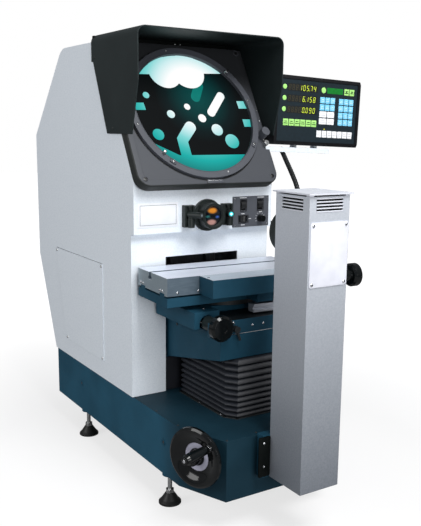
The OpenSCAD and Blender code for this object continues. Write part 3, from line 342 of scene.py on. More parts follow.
def bellows_cloth():
    """Coated cloth: bluish black, with painted light on the folds that look to the front."""
    look = Look("bellows_cloth", 0.5, gloss=0.25)
    lean = look.agreement(look.normal(), (0, -1, 0))
    dark = look.tones(lean, (29, 32, 38), (78, 79, 82), 0.45, 0.8)
    light = look.tones(lean, (38, 41, 48), (90, 91, 94), 0.45, 0.8)
    look.colour(look.blend(look.noise(25, 4), dark, light))
    look.moulded_skin(0.5, 1600, 0.3)
    return look.material


def bare_top_paint(name, dark, light, line):
    """Machine paint on the sides, bare metal on the faces that look up, with a painted highlight line along
    their edges.
    """
    look = Look(name, 0.45, 0.2, 0.2)
    bare = look.tones(look.noise(1, 6, look.stretched(BRUSHED)), dark, light)
    skin = look.tones(look.noise(9, 5), NAVY_DARK, NAVY_LIGHT)
    look.two_faced(bare, skin, line)
    look.bump(look.noise(700, 4), 0.1, 0.2 * MM, EDGE)
    return look.material


def table_steel():
    """Ground steel with painted light and shade: bright on top, duller at the left end, dark at the front.
    """
    look = Look("table_steel", 0.38, 0.35)
    lines = look.noise(1, 6, look.stretched(BRUSHED))
    top = look.tones(lines, (204, 210, 222), (224, 230, 241))
    end = look.tones(lines, (134, 148, 157), (152, 166, 175))
    front = look.tones(lines, (80, 95, 107), (96, 111, 123))
    # Painted light and shade by face direction, with a painted highlight on the top edges
    look.two_faced(top, look.blend(look.toward((-1, 0, 0)), front, end), EDGE_HIGHLIGHT)
    look.roughness(lines, 0.32, 0.5)
    look.bump(lines, 0.06, 0.1 * MM, EDGE)
    return look.material


def bezel_edge():
    """Grey paint on the bezel's face, darker on its bevel and sides, with painted shade from the hood
    darkening its upper part.
    """
    look = Look("bezel_edge", 0.55, gloss=0.35)
    lean = look.agreement(look.normal("Normal"), SCREEN_OUT)
    low = look.tones(lean, (34, 38, 37), (63, 66, 72), 0.9, 0.97)
    high = look.tones(lean, (17, 20, 19), (36, 38, 41), 0.9, 0.97)
    # Painted shade: the high tone stands for the hood's shadow over BEZEL_SHADE
    look.colour(look.blend(look.rise(*BEZEL_SHADE), low, high))
    look.bump(look.noise(1100, 4), 0.2, 0.35 * MM, EDGE)
    return look.material


# Reflections on the lens: x and z of the middle, half the height, colour
LENS_WIDEN = 0.55
LENS_SPOTS = (
    (-3, 632, 6, (206, 128, 34)), (-5, 605, 7, (188, 140, 130)),
    (10, 617, 0.8, (66, 104, 184)), (-15, 618.5, 0.7, (46, 112, 108)),
)


def coated_lens():
    """Dark coated glass with an amber reflection above and a rose one below."""
    look = Look("optical_glass", 0.06, gloss=0.6)
    flat = look.stretched((LENS_WIDEN, 0, 1))
    tint = (12, 16, 22)
    for x, z, radius, colour in LENS_SPOTS:
        reach = look.distance((x * LENS_WIDEN * MM, 0, z * MM), flat)
        spot = look.tones(reach, WHITE, BLACK, radius * 0.88 * MM, radius * 1.08 * MM)
        tint = look.blend(spot, tint, colour)
    look.colour(tint)
    look.bump(look.noise(6), 0.02, 0.1 * MM)
    return look.material


# Apron: bare steel top, navy sides and a painted highlight line on the top edges
STEEL_TOP = ((168, 180, 192), (192, 204, 215), EDGE_HIGHLIGHT)
# Focus base under the apron: bare top painted near black as shade, navy sides, a faint painted highlight
# line
SHADED_WAY = ((15, 20, 23), (22, 27, 30), (52, 78, 92))
LOOKS = {
    "cabinet_paint": stipple_paint(),
    "tower_paint": hammer_paint(),
    "base_paint": base_paint(),
    "bellows_cloth": bellows_cloth(),
    "steel_top": bare_top_paint("steel_top_paint", *STEEL_TOP),
    "shaded_way": bare_top_paint("shaded_way", *SHADED_WAY),
    "table_steel": table_steel(),
    "bezel_edge": bezel_edge(),
    "optical_glass": coated_lens(),
}


def fill_looks(finish, *rows):
    for name, *values in rows:
        LOOKS[name] = finish(name, *values)


fill_looks(
    paint,
    ("machine_paint", NAVY_DARK, NAVY_LIGHT, 0.55, 800, 0.25, 0.12),
    ("bezel_paint", (68, 71, 78), (76, 79, 86), 0.55, 1100, 0.2),
    ("hood_paint", (30, 38, 39), (36, 44, 45), 0.5, 1100, 0.16, 0.2),
    ("cap_paint", (208, 211, 220), (216, 219, 228), 0.4, 700, 0.1, 0.5),
)
fill_looks(
    metal,
    ("ground_steel", (142, 156, 168), (172, 186, 198), 0.38, BRUSHED, 0.06, 0.6),
    ("zinc", (178, 180, 180), (205, 206, 206), 0.25, (500, 500, 60)),
    ("iron", (34, 37, 39), (48, 51, 53), 0.5, (300, 300, 90), 0.06, 0.5),
    ("bronze", (176, 132, 62), (204, 160, 88), 0.35, (400, 400, 60)),
    ("anodised", (170, 175, 184), (192, 197, 206), 0.36, (40, 600, 600), 0.06, 0.8),
    ("mirror_glass", (222, 226, 230), (236, 238, 240), 0.08, (3, 3, 3), 0),
    ("chrome", (206, 208, 212), (224, 226, 230), 0.14, (300, 300, 300), 0.02),
)
fill_looks(
    plastic,
    ("black_anodised", (22, 29, 28), (32, 39, 38), 0.4, 1200, 0.08),
    ("knob_plastic", (7, 10, 11), (11, 14, 15), 0.1, 300, 0.01, 0.4),
    ("switch_plastic", (24, 25, 27), (31, 32, 34), 0.3, 1500, 0.06, 0.5),
    ("console_plastic", (14, 15, 18), (20, 21, 24), 0.45, 1500, 0.12, 0.2),
    ("rubber", (18, 20, 20), (27, 29, 29), 0.45, 700, 0.12),
    ("way_cloth", (22, 24, 30), (29, 31, 38), 0.5, 1600, 0.3, 0.25),
    ("cable_jacket", (18, 20, 21), (28, 30, 31), 0.4, 900, 0.1),
)
fill_looks(
    plain,
    ("screen_glass", (16, 58, 60), (24, 74, 76), 0.4, 0.5, 60, 2500, 0.1),
    ("matt_black", (5, 9, 8), (9, 13, 12), 0.6, 0.1),
    ("print_grey", (84, 86, 90), (94, 96, 100)),
    ("plate_white", (229, 232, 238), (235, 238, 243), 0.45),
    ("plate_grey", (214, 216, 226), (222, 224, 233), 0.35),
    ("print_white", (212, 214, 216), (224, 226, 228)),
    ("hub_grey", (168, 168, 186), (180, 180, 198), 0.4),
)
fill_looks(
    key_cap,
    ("key_green", (160, 222, 120), (176, 234, 134)),
    ("key_blue", (112, 200, 240), (140, 214, 246)),
    ("key_white", (236, 238, 242), (246, 247, 250)),
    ("face_film", (16, 30, 37), (20, 35, 43)),
    ("digit_lit", (168, 186, 44), (180, 198, 54), 0.8),
    ("digit_dim", (58, 54, 34), (66, 60, 38)),
    ("digit_window", (14, 19, 21), (18, 23, 25)),
    ("lcd_green", (4, 98, 28), (8, 110, 36), 0.3),
    ("ink_green", (36, 78, 30), (42, 84, 36)),
    ("ink_grey", (170, 172, 178), (180, 182, 188)),
    ("led_yellow", (190, 190, 20), (206, 204, 30), 0.6),
)


# Looks of the CAD nodes
DRESS = {
    "cabinet_paint": "cabinet_shell access_panels rear_panel mirror_bracket display_arm",
    "base_paint": "base_casting",
    "machine_paint": "tower_bracket knee_casting focus_slide saddle",
    # The focus base's dark top is painted shade under the apron
    "shaded_way": "focus_base",
    "steel_top": "table_apron",
    "bezel_paint": "screen_ring control_panel ring_knob",
    "bezel_edge": "screen_bezel",
    "hood_paint": "screen_hood",
    "tower_paint": "lamp_tower",
    "cap_paint": "tower_cap",
    "table_steel": "work_table",
    "ground_steel": "x_screw lead_screw",
    "zinc": "foot_studs pinion_shaft ring_clamp",
    "iron": "bottom_plate column guide_rails knee_trucks bevel_gear swivel_plate focus_lock",
    "bronze": "knee_nut wheel_bearing",
    "anodised": "x_scale lamp_holder power_supply",
    "black_anodised": "lens_mount condenser_barrel illuminator_brackets left_illuminator right_illuminator",
    "knob_plastic": "handwheel wheel_grip x_knob focus_knob dimmer_knob",
    "switch_plastic": "lamp_rocker surface_rocker fan_rocker power_inlet",
    "console_plastic": "display_console",
    "rubber": "foot_pads",
    "bellows_cloth": "bellows",
    "cable_jacket": "display_cable",
    "optical_glass": "objective_lens condenser_lens lamp_bulb",
    "screen_glass": "screen_glass",
    "mirror_glass": "folding_mirror",
}
for look, names in DRESS.items():
    for name in names.split():
        slots = NODES[name].data.materials
        slots.clear()
        slots.append(LOOKS[look])


# Places: a local frame whose z looks out of a face
def facing(origin, normal):
    out = Vector(normal).normalized()
    side = Vector(UP).cross(out).normalized()
    turn = Matrix((side, out.cross(side), out)).transposed().to_4x4()
    return Matrix.Translation(Vector(origin)) @ turn


def on(place, x, y, z=0):
    return place @ Matrix.Translation((x, y, z))


def spin(degrees, axis="Z"):
    return Matrix.Rotation(math.radians(degrees), 4, axis)


MIDDLE = (0, 0, 0)
HERE = Matrix.Identity(4)
FRONT = facing(MIDDLE, (0, -1, 0))
REAR = facing(MIDDLE, (0, 1, 0))
LEFT = facing(MIDDLE, (-1, 0, 0))
RIGHT = facing(MIDDLE, (1, 0, 0))
SCREEN = facing((0, -40, 855), SCREEN_OUT)
GLASS_FACE = -8
GLASS = on(SCREEN, 0, 0, GLASS_FACE)
WHEEL = facing((-162.6, -346.74, 161), (-0.930156, -0.367167, 0))
DISPLAY_DEPTH = 19
DISPLAY_LEAN = 2
DISPLAY = on(Matrix.Translation((187, -39, 769)) @ spin(DISPLAY_LEAN, "Y") @ FRONT, 0, 0, DISPLAY_DEPTH)
SWIVEL_AT = Vector((0, -167, 0))
TABLE_TURN = -2.5
TABLE = Matrix.Translation(SWIVEL_AT) @ spin(TABLE_TURN) @ Matrix.Translation(-SWIVEL_AT)


def on_side(side, y, z, depth):
    """A place on the left side (-1) or the right side (1), depth from the middle."""
    return on(LEFT, -y, z, depth) if side < 0 else on(RIGHT, y, z, depth)


def on_table(x, y, z, face):
    """A place on the table, which stands turned in the stored pose."""
    return TABLE @ Matrix.Translation((x, y, z)) @ face


# Outlines in millimetres
def polar(centre, radius, degrees):
    angle = math.radians(degrees)
    return (centre[0] + radius * math.cos(angle), centre[1] + radius * math.sin(angle))


def arc(centre, radius, start, end, steps=24):
    return [polar(centre, radius, start + (end - start) * i / steps) for i in range(steps + 1)]


def circle(x, y, radius, steps=48):
    return arc((x, y), radius, 0, 360 - 360 / steps, steps - 1)


def box(left, low, right, high):
    return [(left, low), (right, low), (right, high), (left, high)]


def rounded(left, low, right, high, radius=1, steps=5):
    points = []
    for x, y, turn in (
        (right - radius, high - radius, 0), (left + radius, high - radius, 90),
        (left + radius, low + radius, 180), (right - radius, low + radius, 270),
    ):
        points += arc((x, y), radius, turn, turn + 90, steps)
    return points


def capsule(a, b, width, steps=14):
    turn = math.degrees(math.atan2(b[1] - a[1], b[0] - a[0]))
    return arc(b, width / 2, turn - 90, turn + 90, steps) + arc(a, width / 2, turn + 90, turn + 270, steps)


SHARP_FROM = math.radians(32)


class Piece:
    """Collects shapes in millimetres into one mesh in metres."""

    def __init__(self, name, *looks):
        self.name = name
        self.looks = looks
        self.mesh = bmesh.new()

    def skin(self, rows, place=HERE, look=0, bevel=0):
        """A closed skin over rows of points, with a lid at each end and a bevel on the last lid."""
        made = bmesh.new()
        rings = [[made.verts.new(point) for point in row] for row in rows]
        for lower, upper in zip(rings, rings[1:]):
            for i in range(len(lower)):
                j = (i + 1) % len(lower)
                made.faces.new((lower[i], lower[j], upper[j], upper[i]))
        made.faces.new(list(reversed(rings[0])))
        lid = made.faces.new(rings[-1])
        if bevel:
            edges = list(lid.edges)
            bmesh.ops.bevel(made, geom=edges, offset=bevel, segments=2, profile=0.6, affect="EDGES")
        self.add(made, place, look)

    def prism(self, outline, low, high, place, look=0, bevel=0):
        """An outline drawn on a place's face, from depth low to depth high."""
        self.skin([[(x, y, depth) for x, y in outline] for depth in (low, high)], place, look, bevel)

    def turned(self, profile, place, look=0, steps=48):
        """A profile of (radius, height) turned about a place's z."""
        made = bmesh.new()
        rings = []
        for radius, height in profile:
            if radius < 0.001:
                rings.append([made.verts.new((0, 0, height))] * steps)
                continue
            rings.append([
                made.verts.new((*polar((0, 0), radius, 360 * i / steps), height)) for i in range(steps)
            ])
        for lower, upper in zip(rings, rings[1:]):
            for i in range(steps):
                j = (i + 1) % steps
                corners = list(dict.fromkeys((lower[i], lower[j], upper[j], upper[i])))
                if len(corners) > 2:
                    made.faces.new(corners)
        self.add(made, place, look)

    def add(self, made, place, look):
        made.transform(Matrix.Scale(MM, 4) @ place)
        for face in made.faces:
            face.material_index = look
            face.smooth = True
        bmesh.ops.recalc_face_normals(made, faces=made.faces)
        scratch = bpy.data.meshes.new("scratch")
        made.to_mesh(scratch)
        made.free()
        self.mesh.from_mesh(scratch)
        bpy.data.meshes.remove(scratch)

    def done(self, body, slot, *replaced, ride=True):
        data = bpy.data.meshes.new(self.name)
        self.mesh.to_mesh(data)
        self.mesh.free()
        data.set_sharp_from_angle(angle=SHARP_FROM)
        for look in self.looks:
            data.materials.append(LOOKS[look])
        piece = new_object(self.name, data)
        if ride:
            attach(piece, body)
        if replaced:
            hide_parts(*replaced)
        return piece


# Display cable, along the route of its solid
CABLE_D = 12
CABLE_WRAP = 9
CABLE_GROOVE = 0.9
CABLE_STEP = 1.5
CABLE_SIDES = 20
CABLE_ROUTE = [
    (253, -36, 769), (250.5, -47, 759.5), (246, -63, 747), (241, -81, 733), (235.5, -100, 719),
    (230, -119, 704), (225, -137, 688), (220, -153, 669), (216, -163, 647), (213, -165, 624),
    (211, -157, 602), (210, -140, 585), (209, -117, 576), (207, -93, 577), (204, -70, 584),
    (200, -49, 595), (194.5, -31, 608), (187.5, -15, 622),
]


def smooth_route(points, step):
    """Points along a smooth curve through the route, about step apart."""
    route = [Vector(p) for p in points]
    route = [2 * route[0] - route[1]] + route + [2 * route[-1] - route[-2]]
    line = []
    for a, b, c, d in zip(route, route[1:], route[2:], route[3:]):
        count = max(2, round((c - b).length / step))
        for i in range(count):
            t = i / count
            bend = (2 * a - 5 * b + 4 * c - d) * t * t + (3 * b - a - 3 * c + d) * t ** 3
            line.append(0.5 * (2 * b + (c - a) * t + bend))
    return line + [route[-2]]


def make_cable():
    line = smooth_route(CABLE_ROUTE, CABLE_STEP)
    rows = []
    along = 0
    side = Vector((1, 0, 0))
    for i, point in enumerate(line):
        ahead = (line[min(i + 1, len(line) - 1)] - line[max(i - 1, 0)]).normalized()
        side = (side - ahead * side.dot(ahead)).normalized()
        other = ahead.cross(side)
        row = []
        for k in range(CABLE_SIDES):
            angle = 2 * math.pi * k / CABLE_SIDES
            groove = 0.5 + 0.5 * math.cos(angle - 2 * math.pi * along / CABLE_WRAP)
            radius = CABLE_D / 2 - CABLE_GROOVE * groove ** 4
            row.append(point + radius * (math.cos(angle) * side + math.sin(angle) * other))
        rows.append(row)
        if i + 1 < len(line):
            along += (line[i + 1] - point).length
    piece = Piece("cable_wrap", "cable_jacket")
    piece.skin(rows)
    cable = piece.done("frame", "cable_jacket", "display_cable")


make_cable()

# Shadow picture on the screen: light, shadow, a faint patch and the lit figures, in thin layers
PICTURE_R = 153.6
HOT_SPOT = GLASS @ Vector((14, 48, 0)) * MM
DARK_SPOT = GLASS @ Vector((22, 38, 0)) * MM
LIT_STOPS = [
    (0.36, (255, 255, 255)), (0.5, (206, 238, 240)), (0.63, (128, 214, 213)),
    (0.76, (62, 189, 184)), (0.86, (4, 170, 165)), (1, (0, 126, 122)),
]
SHADE_STOPS = [(0, (0, 72, 70)), (0.3, (2, 56, 56)), (0.6, (5, 24, 26)), (0.8, (5, 8, 9))]
FAINT_STOPS = [(0.3, (0, 96, 88)), (0.7, (0, 112, 102))]
SHADOW = (
    arc((0, 0), PICTURE_R, 46.2, -44.8, 36) + [(-38, -109), (-69, -109)]
    + arc((0, 0), PICTURE_R, 209, 140.5, 30) + [(-92.7, 98.6), (57, 108.3)]
)
FAINT = capsule((33, 74), (15, 42), 24)
LIT_DISCS = (
    (-51, 106, 42), (11, 112, 46), (-115, 43, 8), (-63.5, -4.5, 10), (-15, 16, 8), (17.5, -13.5, 10.5),
    (50, -43.5, 15), (83, -73.5, 18.5), (-109.5, -57, 14),
)
LIT_FIGURES = (
    capsule((87, 48), (47, 2), 21),
    [(-64.6, -65.5), (-38.4, -75.8), (-38, -110), (-65, -110)],
    [(-64.6, -65.5), (-33, -29)] + arc((-21, -37), 14, 146, -42, 14) + [(-38.4, -75.8)],
    [(-153, 4.2), (-125, 4.8), (-126.5, 23), (-152, 22.4)],
    [(129.5, 15.2), (152.5, 15.8), (149, 36), (128.8, 35.5)],
    [(130.8, -34.2), (149.5, -34), (152.6, -14.2), (131, -14.3)],
    [(-138.5, 61), (-136, 51), (-143, 52)],
)


def picture_look(name, base, gloss, stops, spot=None, reach=1):
    """Glowing film, shaded by the distance from a spot or else by a faint noise."""
    look = Look(name, 0.6, gloss=gloss)
    look.colour(base)
    if spot is None:
        shade = look.noise(20)
    else:
        shade = look.compute("Math", "MULTIPLY", look.distance(spot), reach)
    look.glow(look.ramp(shade, stops))
    return look.material


def make_picture():
    piece = Piece("shadow_picture", "picture_light", "picture_shadow", "picture_faint")
    piece.prism(circle(0, 0, PICTURE_R, 96), 0.1, 0.3, GLASS)
    piece.prism(SHADOW, 0.3, 0.5, GLASS, 1)
    piece.prism(FAINT, 0.5, 0.6, GLASS, 2)
    for disc in LIT_DISCS:
        piece.prism(circle(*disc), 0.6, 0.8, GLASS)
    for figure in LIT_FIGURES:
        piece.prism(figure, 0.6, 0.8, GLASS)
    piece.done("frame", "screen_glass")


fill_looks(
    picture_look,
    ("picture_light", (8, 20, 20), 0.1, LIT_STOPS, HOT_SPOT, 5),
    ("picture_shadow", (4, 5, 6), 0.05, SHADE_STOPS, DARK_SPOT, 7),
    ("picture_faint", (0, 60, 58), 0.1, FAINT_STOPS),
)
make_picture()


# Fasteners
def socket_screw(piece, place, radius, height, look=0, deep=1):
    head = [(0, 0), (radius, 0), (radius, height * 0.8), (radius * 0.86, height), (radius * 0.55, height)]
    socket = [(radius * 0.55, height), (radius * 0.52, height * 0.45), (0, height * 0.4)]
    piece.turned(head, place, look, 24)
    piece.turned(socket, place, deep, 6)


def pan_screw(piece, place, radius, height, look=0, deep=1):
    head = [(radius, 0), (radius * 0.96, height * 0.4), (radius * 0.7, height * 0.85), (0, height)]
    slot = rounded(-radius * 0.6, -radius * 0.12, radius * 0.6, radius * 0.12, radius * 0.1, 2)
    piece.turned(head, place, look, 20)
    for turn in (20, 110):
        piece.prism(slot, height * 0.7, height + 0.05, place @ spin(turn), deep)


def screws(piece, face, spots, depth, *sizes, kind=pan_screw):
    """A screw at each spot on a face, at one depth."""
    for x, y in spots:
        kind(piece, on(face, x, y, depth), *sizes)


# Fittings on the screen ring and the bezel, by their places on the screen
RING_PINS = ((-113, -107), (114.7, 108.6))
RING_SCREWS = ((-158.6, -35.1), (43, -155.5), (-36.1, 160.7), (158.6, 36.9))
RING_CLIPS = ((-95, -128.5, -37), (137, -86, 58))
RING_LIP = [(154.1, -1.2), (154.1, 0.5), (155.2, 0.7), (155.8, 0.05)]
RING_GAP = [(171.2, -0.6), (171.2, 0.3), (173.6, 0.3), (173.8, 0)]
BEZEL_BOLTS = [(u, v) for u in (-170, 170) for v in (-166, 173)]
BEZEL_SCREWS = ((0, 186), (13, 186), (181, 12), (181, -17))
VERNIER = (-16, -180.6, 27, -171.6)
VERNIER_RIM = (-17.4, -181.8, 28.4, -170.2)
VERNIER_TOP = 2.2
TICKS = 21
TICK_FROM = (-12, -175)
TICK_STEP = 1.75
TICK_W = 0.4


def ring_fittings():
    ring = Piece("ring_fittings", "zinc", "switch_plastic", "bezel_paint")
    for u, v in RING_PINS:
        ring.turned([(4, 0), (4, 8), (3, 9.6), (0, 10)], on(SCREEN, u, v), 0, 20)
    screws(ring, SCREEN, RING_SCREWS, 0, 2.4, 1.4)
    for u, v, turn in RING_CLIPS:
        clip = on(SCREEN, u, v) @ spin(turn)
        ring.prism(rounded(-8, -4.5, 8, 4.5, 2), 0, 2.6, clip, 2, 0.6)
        socket_screw(ring, on(clip, 0, 0, 2.6), 3.2, 2.2)
    ring.turned(RING_LIP, SCREEN, 2, 128)
    ring.done("screen", "zinc")


def bezel_fittings():
    bezel = Piece("bezel_fittings", "zinc", "switch_plastic", "bezel_paint")
    bezel.turned(RING_GAP, GLASS, 1, 128)
    for u, v in BEZEL_BOLTS:
        bezel.turned([(7.5, 0), (7.5, 0.4), (6.4, 0.5), (6.2, 0.1)], on(GLASS, u, v), 2, 28)
        socket_screw(bezel, on(GLASS, u, v), 5, 1.4, 1)
    screws(bezel, GLASS, BEZEL_SCREWS, 0, 2, 1.2)
    bezel.prism(rounded(*VERNIER_RIM), 0, 0.8, GLASS, 1)
    bezel.prism(rounded(*VERNIER), 0, VERNIER_TOP, GLASS, 2, 0.5)
    for i in range(TICKS):
        left = TICK_FROM[0] + TICK_STEP * i
        tall = 3.4 if i % 5 == 0 else 2
        tick = box(left, TICK_FROM[1], left + TICK_W, TICK_FROM[1] + tall)
        bezel.prism(tick, VERNIER_TOP, VERNIER_TOP + 0.1, GLASS)
    bezel.done("frame", "bezel_paint")


ring_fittings()
bezel_fittings()

# Bezel rim: the face carried out to a small round at the edge
BEZEL_U = 187
BEZEL_LOW = -183
BEZEL_HIGH = 181
BEZEL_CORNER = 30
RIM_ROUND = 3.5
RIM_BACK = -22.5
RIM_INNER = 15.5
RIM_PARTS = 4
CORNER_PARTS = 12
KNOB_NOTCH = (-95, -43)


def rim_section(point, inward):
    """Points across the rim at one place of the outline, from the back round to the face."""
    section = [(0, RIM_BACK)]
    for i in range(RIM_PARTS + 1):
        angle = math.pi / 2 * i / RIM_PARTS
        section.append((RIM_ROUND * (1 - math.cos(angle)), GLASS_FACE - RIM_ROUND * (1 - math.sin(angle))))
    section += [(RIM_INNER, GLASS_FACE + 0.02), (RIM_INNER, RIM_BACK)]
    return [(point[0] + inward[0] * d, point[1] + inward[1] * d, w) for d, w in section]


def bezel_rim():
    left = -BEZEL_U + BEZEL_CORNER
    low = BEZEL_LOW + BEZEL_CORNER
    path = [((-BEZEL_U, BEZEL_HIGH), (1, 0))]
    for centre, start in (((left, low), 180), ((-left, low), 270)):
        for i in range(CORNER_PARTS + 1):
            turn = start + 90 * i / CORNER_PARTS
            path.append((polar(centre, BEZEL_CORNER, turn), polar((0, 0), -1, turn)))
    path.append(((BEZEL_U, KNOB_NOTCH[0]), (-1, 0)))
    above_knob = [((BEZEL_U, KNOB_NOTCH[1]), (-1, 0)), ((BEZEL_U, BEZEL_HIGH), (-1, 0))]
    piece = Piece("bezel_rim", "bezel_edge")
    for strip in (path, above_knob):
        piece.skin([rim_section(*stop) for stop in strip], SCREEN)
    piece.done("frame", "bezel_paint")


bezel_rim()


def frame_lines(piece, left, low, right, high, width, base, top, place, look=0):
    """Four bars along the inside of a rectangle."""
    for bar in (
        box(left, low, right, low + width), box(left, high - width, right, high),
        box(left, low + width, left + width, high - width),
        box(right - width, low + width, right, high - width),
    ):
        piece.prism(bar, base, top, place, look)


# Head: blank plate, screws of the objective and the illuminators, control panel trim
HEAD_FACE = 90
PLATE = (-177, 597, -75, 652)
PLATE_TOP = HEAD_FACE + 0.8
PLATE_LINE = (-172, 602, -80, 647)
LENS_FLANGE = 98
LENS_SCREWS = [polar((0, 619), 32.5, turn) for turn in (45, 135, 225, 315)]
LAMP_SCREWS = [(x, z) for x in (-52, 52) for z in (600, 638)]
LAMP_BRACKET_FACE = 104
PANEL_FACE = 94
PRINT_TOP = PANEL_FACE + 0.12
PANEL_SCREWS = [(x, z) for x in (77.5, 171.5) for z in (589.5, 653.5)]
ROCKERS = ((102, 637, 9.5, 14.5), (151, 637, 9.5, 14.5), (102, 604, 14.5, 9.5))
DIMMER_AT = (151, 604)
LEGENDS = ((101, 655, 9), (152, 655, 9), (101, 616.5, 4), (120, 604, 4), (101, 590, 5), (152, 620, 4))


def head_details():
    plate = Piece("blank_plate", "plate_white", "print_grey")
    plate.prism(rounded(*PLATE, 1.5), HEAD_FACE, PLATE_TOP, FRONT, 0, 0.3)
    frame_lines(plate, *PLATE_LINE, 0.9, PLATE_TOP, PLATE_TOP + 0.1, FRONT, 1)
    plate.done("frame", "cabinet_paint")
    bolts = Piece("head_screws", "black_anodised", "switch_plastic")
    screws(bolts, FRONT, LENS_SCREWS, LENS_FLANGE, 3, 2, kind=socket_screw)
    screws(bolts, FRONT, LAMP_SCREWS, LAMP_BRACKET_FACE, 4.2, 2.4, kind=socket_screw)
    bolts.done("frame", "black_anodised")


def panel_trim():
    trim = Piece("panel_trim", "zinc", "switch_plastic", "print_white")
    screws(trim, FRONT, PANEL_SCREWS, PANEL_FACE, 1.7, 1)
    for x, z, wide, high in ROCKERS:
        around = (x - wide, z - high, x + wide, z + high)
        frame_lines(trim, *around, 1.2, PANEL_FACE, PANEL_FACE + 1.2, FRONT, 1)
    for turn in range(-30, 211, 30):
        mark = capsule(polar(DIMMER_AT, 12, turn), polar(DIMMER_AT, 14, turn), 0.9, 4)
        trim.prism(mark, PANEL_FACE, PRINT_TOP, FRONT, 2)
    for x, z, half in LEGENDS:
        trim.prism(capsule((x - half, z), (x + half, z), 1.5, 4), PANEL_FACE, PRINT_TOP, FRONT, 2)
    trim.done("frame", "zinc")


HOOD_SEAL = (-187, 1010.2, 187, 1023.9)
HOOD_SEAL_DEPTH = (-118, -110)


def hood_seal():
    piece = Piece("hood_seal", "matt_black")
    piece.prism(rounded(*HOOD_SEAL), *HOOD_SEAL_DEPTH, FRONT, 0, 0.5)
    piece.done("frame", "hood_paint")


LAMP_AIM = math.radians(25)
LAMP_PIVOT = (52, -110, 623.3)
LAMP_REACH = 28


def lamp_lens(side, body, rim, heart, glow):
    """Front glass of an illuminator, on the end of its barrel, brighter in the middle."""
    ahead = Vector((-side * math.sin(LAMP_AIM), -math.cos(LAMP_AIM), 0))
    pivot = Vector((side * LAMP_PIVOT[0], LAMP_PIVOT[1], LAMP_PIVOT[2]))
    face = facing(pivot + LAMP_REACH * ahead, ahead)
    for part, tone in (("_rim", rim), ("_heart", heart)):
        LOOKS[body + part] = plain(body + part, tone, tone, 0.12, drift=90, grain=300, glow=glow)
    piece = Piece(body + "_glass", body + "_rim", "black_anodised", body + "_heart")
    piece.turned([(5.2, -0.2), (5.2, 0.5), (4, 1.1), (2.6, 1.4)], face, 0, 28)
    piece.turned([(2.6, 1.4), (1.6, 1.6), (0, 1.7)], face, 2, 28)
    piece.turned([(7, -0.2), (7, 0.9), (5.4, 0.9), (5.2, -0.2)], face, 1, 32)
    piece.done(body, "hood_paint")


head_details()
panel_trim()
hood_seal()
lamp_lens(-1, "left_lamp", (60, 66, 70), (120, 130, 136), 0)
lamp_lens(1, "right_lamp", (36, 170, 178), (206, 250, 250), 0.8)

# Bellows: pleated skin between the base and the knee, and the pleated way cover behind it
BASE_TOP = 202
BELLOWS_X = 70
BELLOWS_Y = (-311, -97)
BELLOWS_Z = (202.3, 333.4)
CHAMFER = (17, 24)
PLEATS = 10
PLEAT_DEPTH = 7.5
PLEAT_GROWTH = 0.18
PLEAT_RINGS = 10
FLANGE_W = 9
FLANGE_TOP = BASE_TOP + 1.6
FLANGE_SCREWS = [(x, y) for x in (-71.4, 71.4) for y in (-274, -185)]
WAY_FOLDS = 6
WAY_HALF = 97
WAY_Y = (-64, -70)
WAY_Z = (202.3, 283)
WAY_GAP = 0.6
WAY_CREASE = 2.5


def bellows_outline(inset=0):
    x = BELLOWS_X - inset
    front = BELLOWS_Y[0] + inset
    rear = BELLOWS_Y[1] - inset
    return [
        (-x, front + CHAMFER[1]), (-x + CHAMFER[0], front), (x - CHAMFER[0], front),
        (x, front + CHAMFER[1]), (x, rear), (-x, rear),
    ]


def between(piece, low, high):
    """Bakes the piece's place into its mesh; the heights low and high are not used."""
    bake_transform(piece)


def make_bellows():
    """Pleats that grow a little towards the top."""
    rows = []
    count = PLEATS * PLEAT_RINGS
    for i in range(count + 1):
        fold = i % PLEAT_RINGS / PLEAT_RINGS
        inset = PLEAT_DEPTH * (1 - math.sin(math.pi * fold) ** 0.6)
        share = i / count
        share *= 1 - PLEAT_GROWTH * (1 - share)
        z = BELLOWS_Z[0] + (BELLOWS_Z[1] - BELLOWS_Z[0]) * share
        rows.append([(x, y, z) for x, y in bellows_outline(inset)])
    piece = Piece("bellows_skin", "bellows_cloth")
    piece.skin(rows)
    between(piece.done("frame", "bellows_cloth", "bellows", ride=False), *BELLOWS_Z)


def bellows_flange():
    """Thin frame that holds the bellows on the base."""
    piece = Piece("bellows_flange", "iron", "chrome", "switch_plastic")
    corners = bellows_outline()
    for start, end in zip(corners, corners[1:] + corners[:1]):
        piece.prism(capsule(start, end, FLANGE_W, 4), BASE_TOP, FLANGE_TOP, HERE, 0, 0.4)
    screws(piece, HERE, FLANGE_SCREWS, FLANGE_TOP, 2.2, 1.2, 1, 2)
    piece.done("frame", "bellows_cloth")


def make_way_cover():
    piece = Piece("way_cover", "way_cloth")
    rear, front = WAY_Y
    pitch = (WAY_Z[1] - WAY_Z[0]) / WAY_FOLDS
    for i in range(WAY_FOLDS):
        low = WAY_Z[0] + pitch * i
        high = low + pitch
        crease = (rear - WAY_CREASE, low + pitch / 2)
        fold = [(rear, low + WAY_GAP), (front, low), (front, high), (rear, high - WAY_GAP), crease]
        piece.prism(fold, -WAY_HALF, WAY_HALF, RIGHT)
    between(piece.done("frame", "bellows_cloth", "bellows", ride=False), *WAY_Z)


make_bellows()
bellows_flange()
make_way_cover()

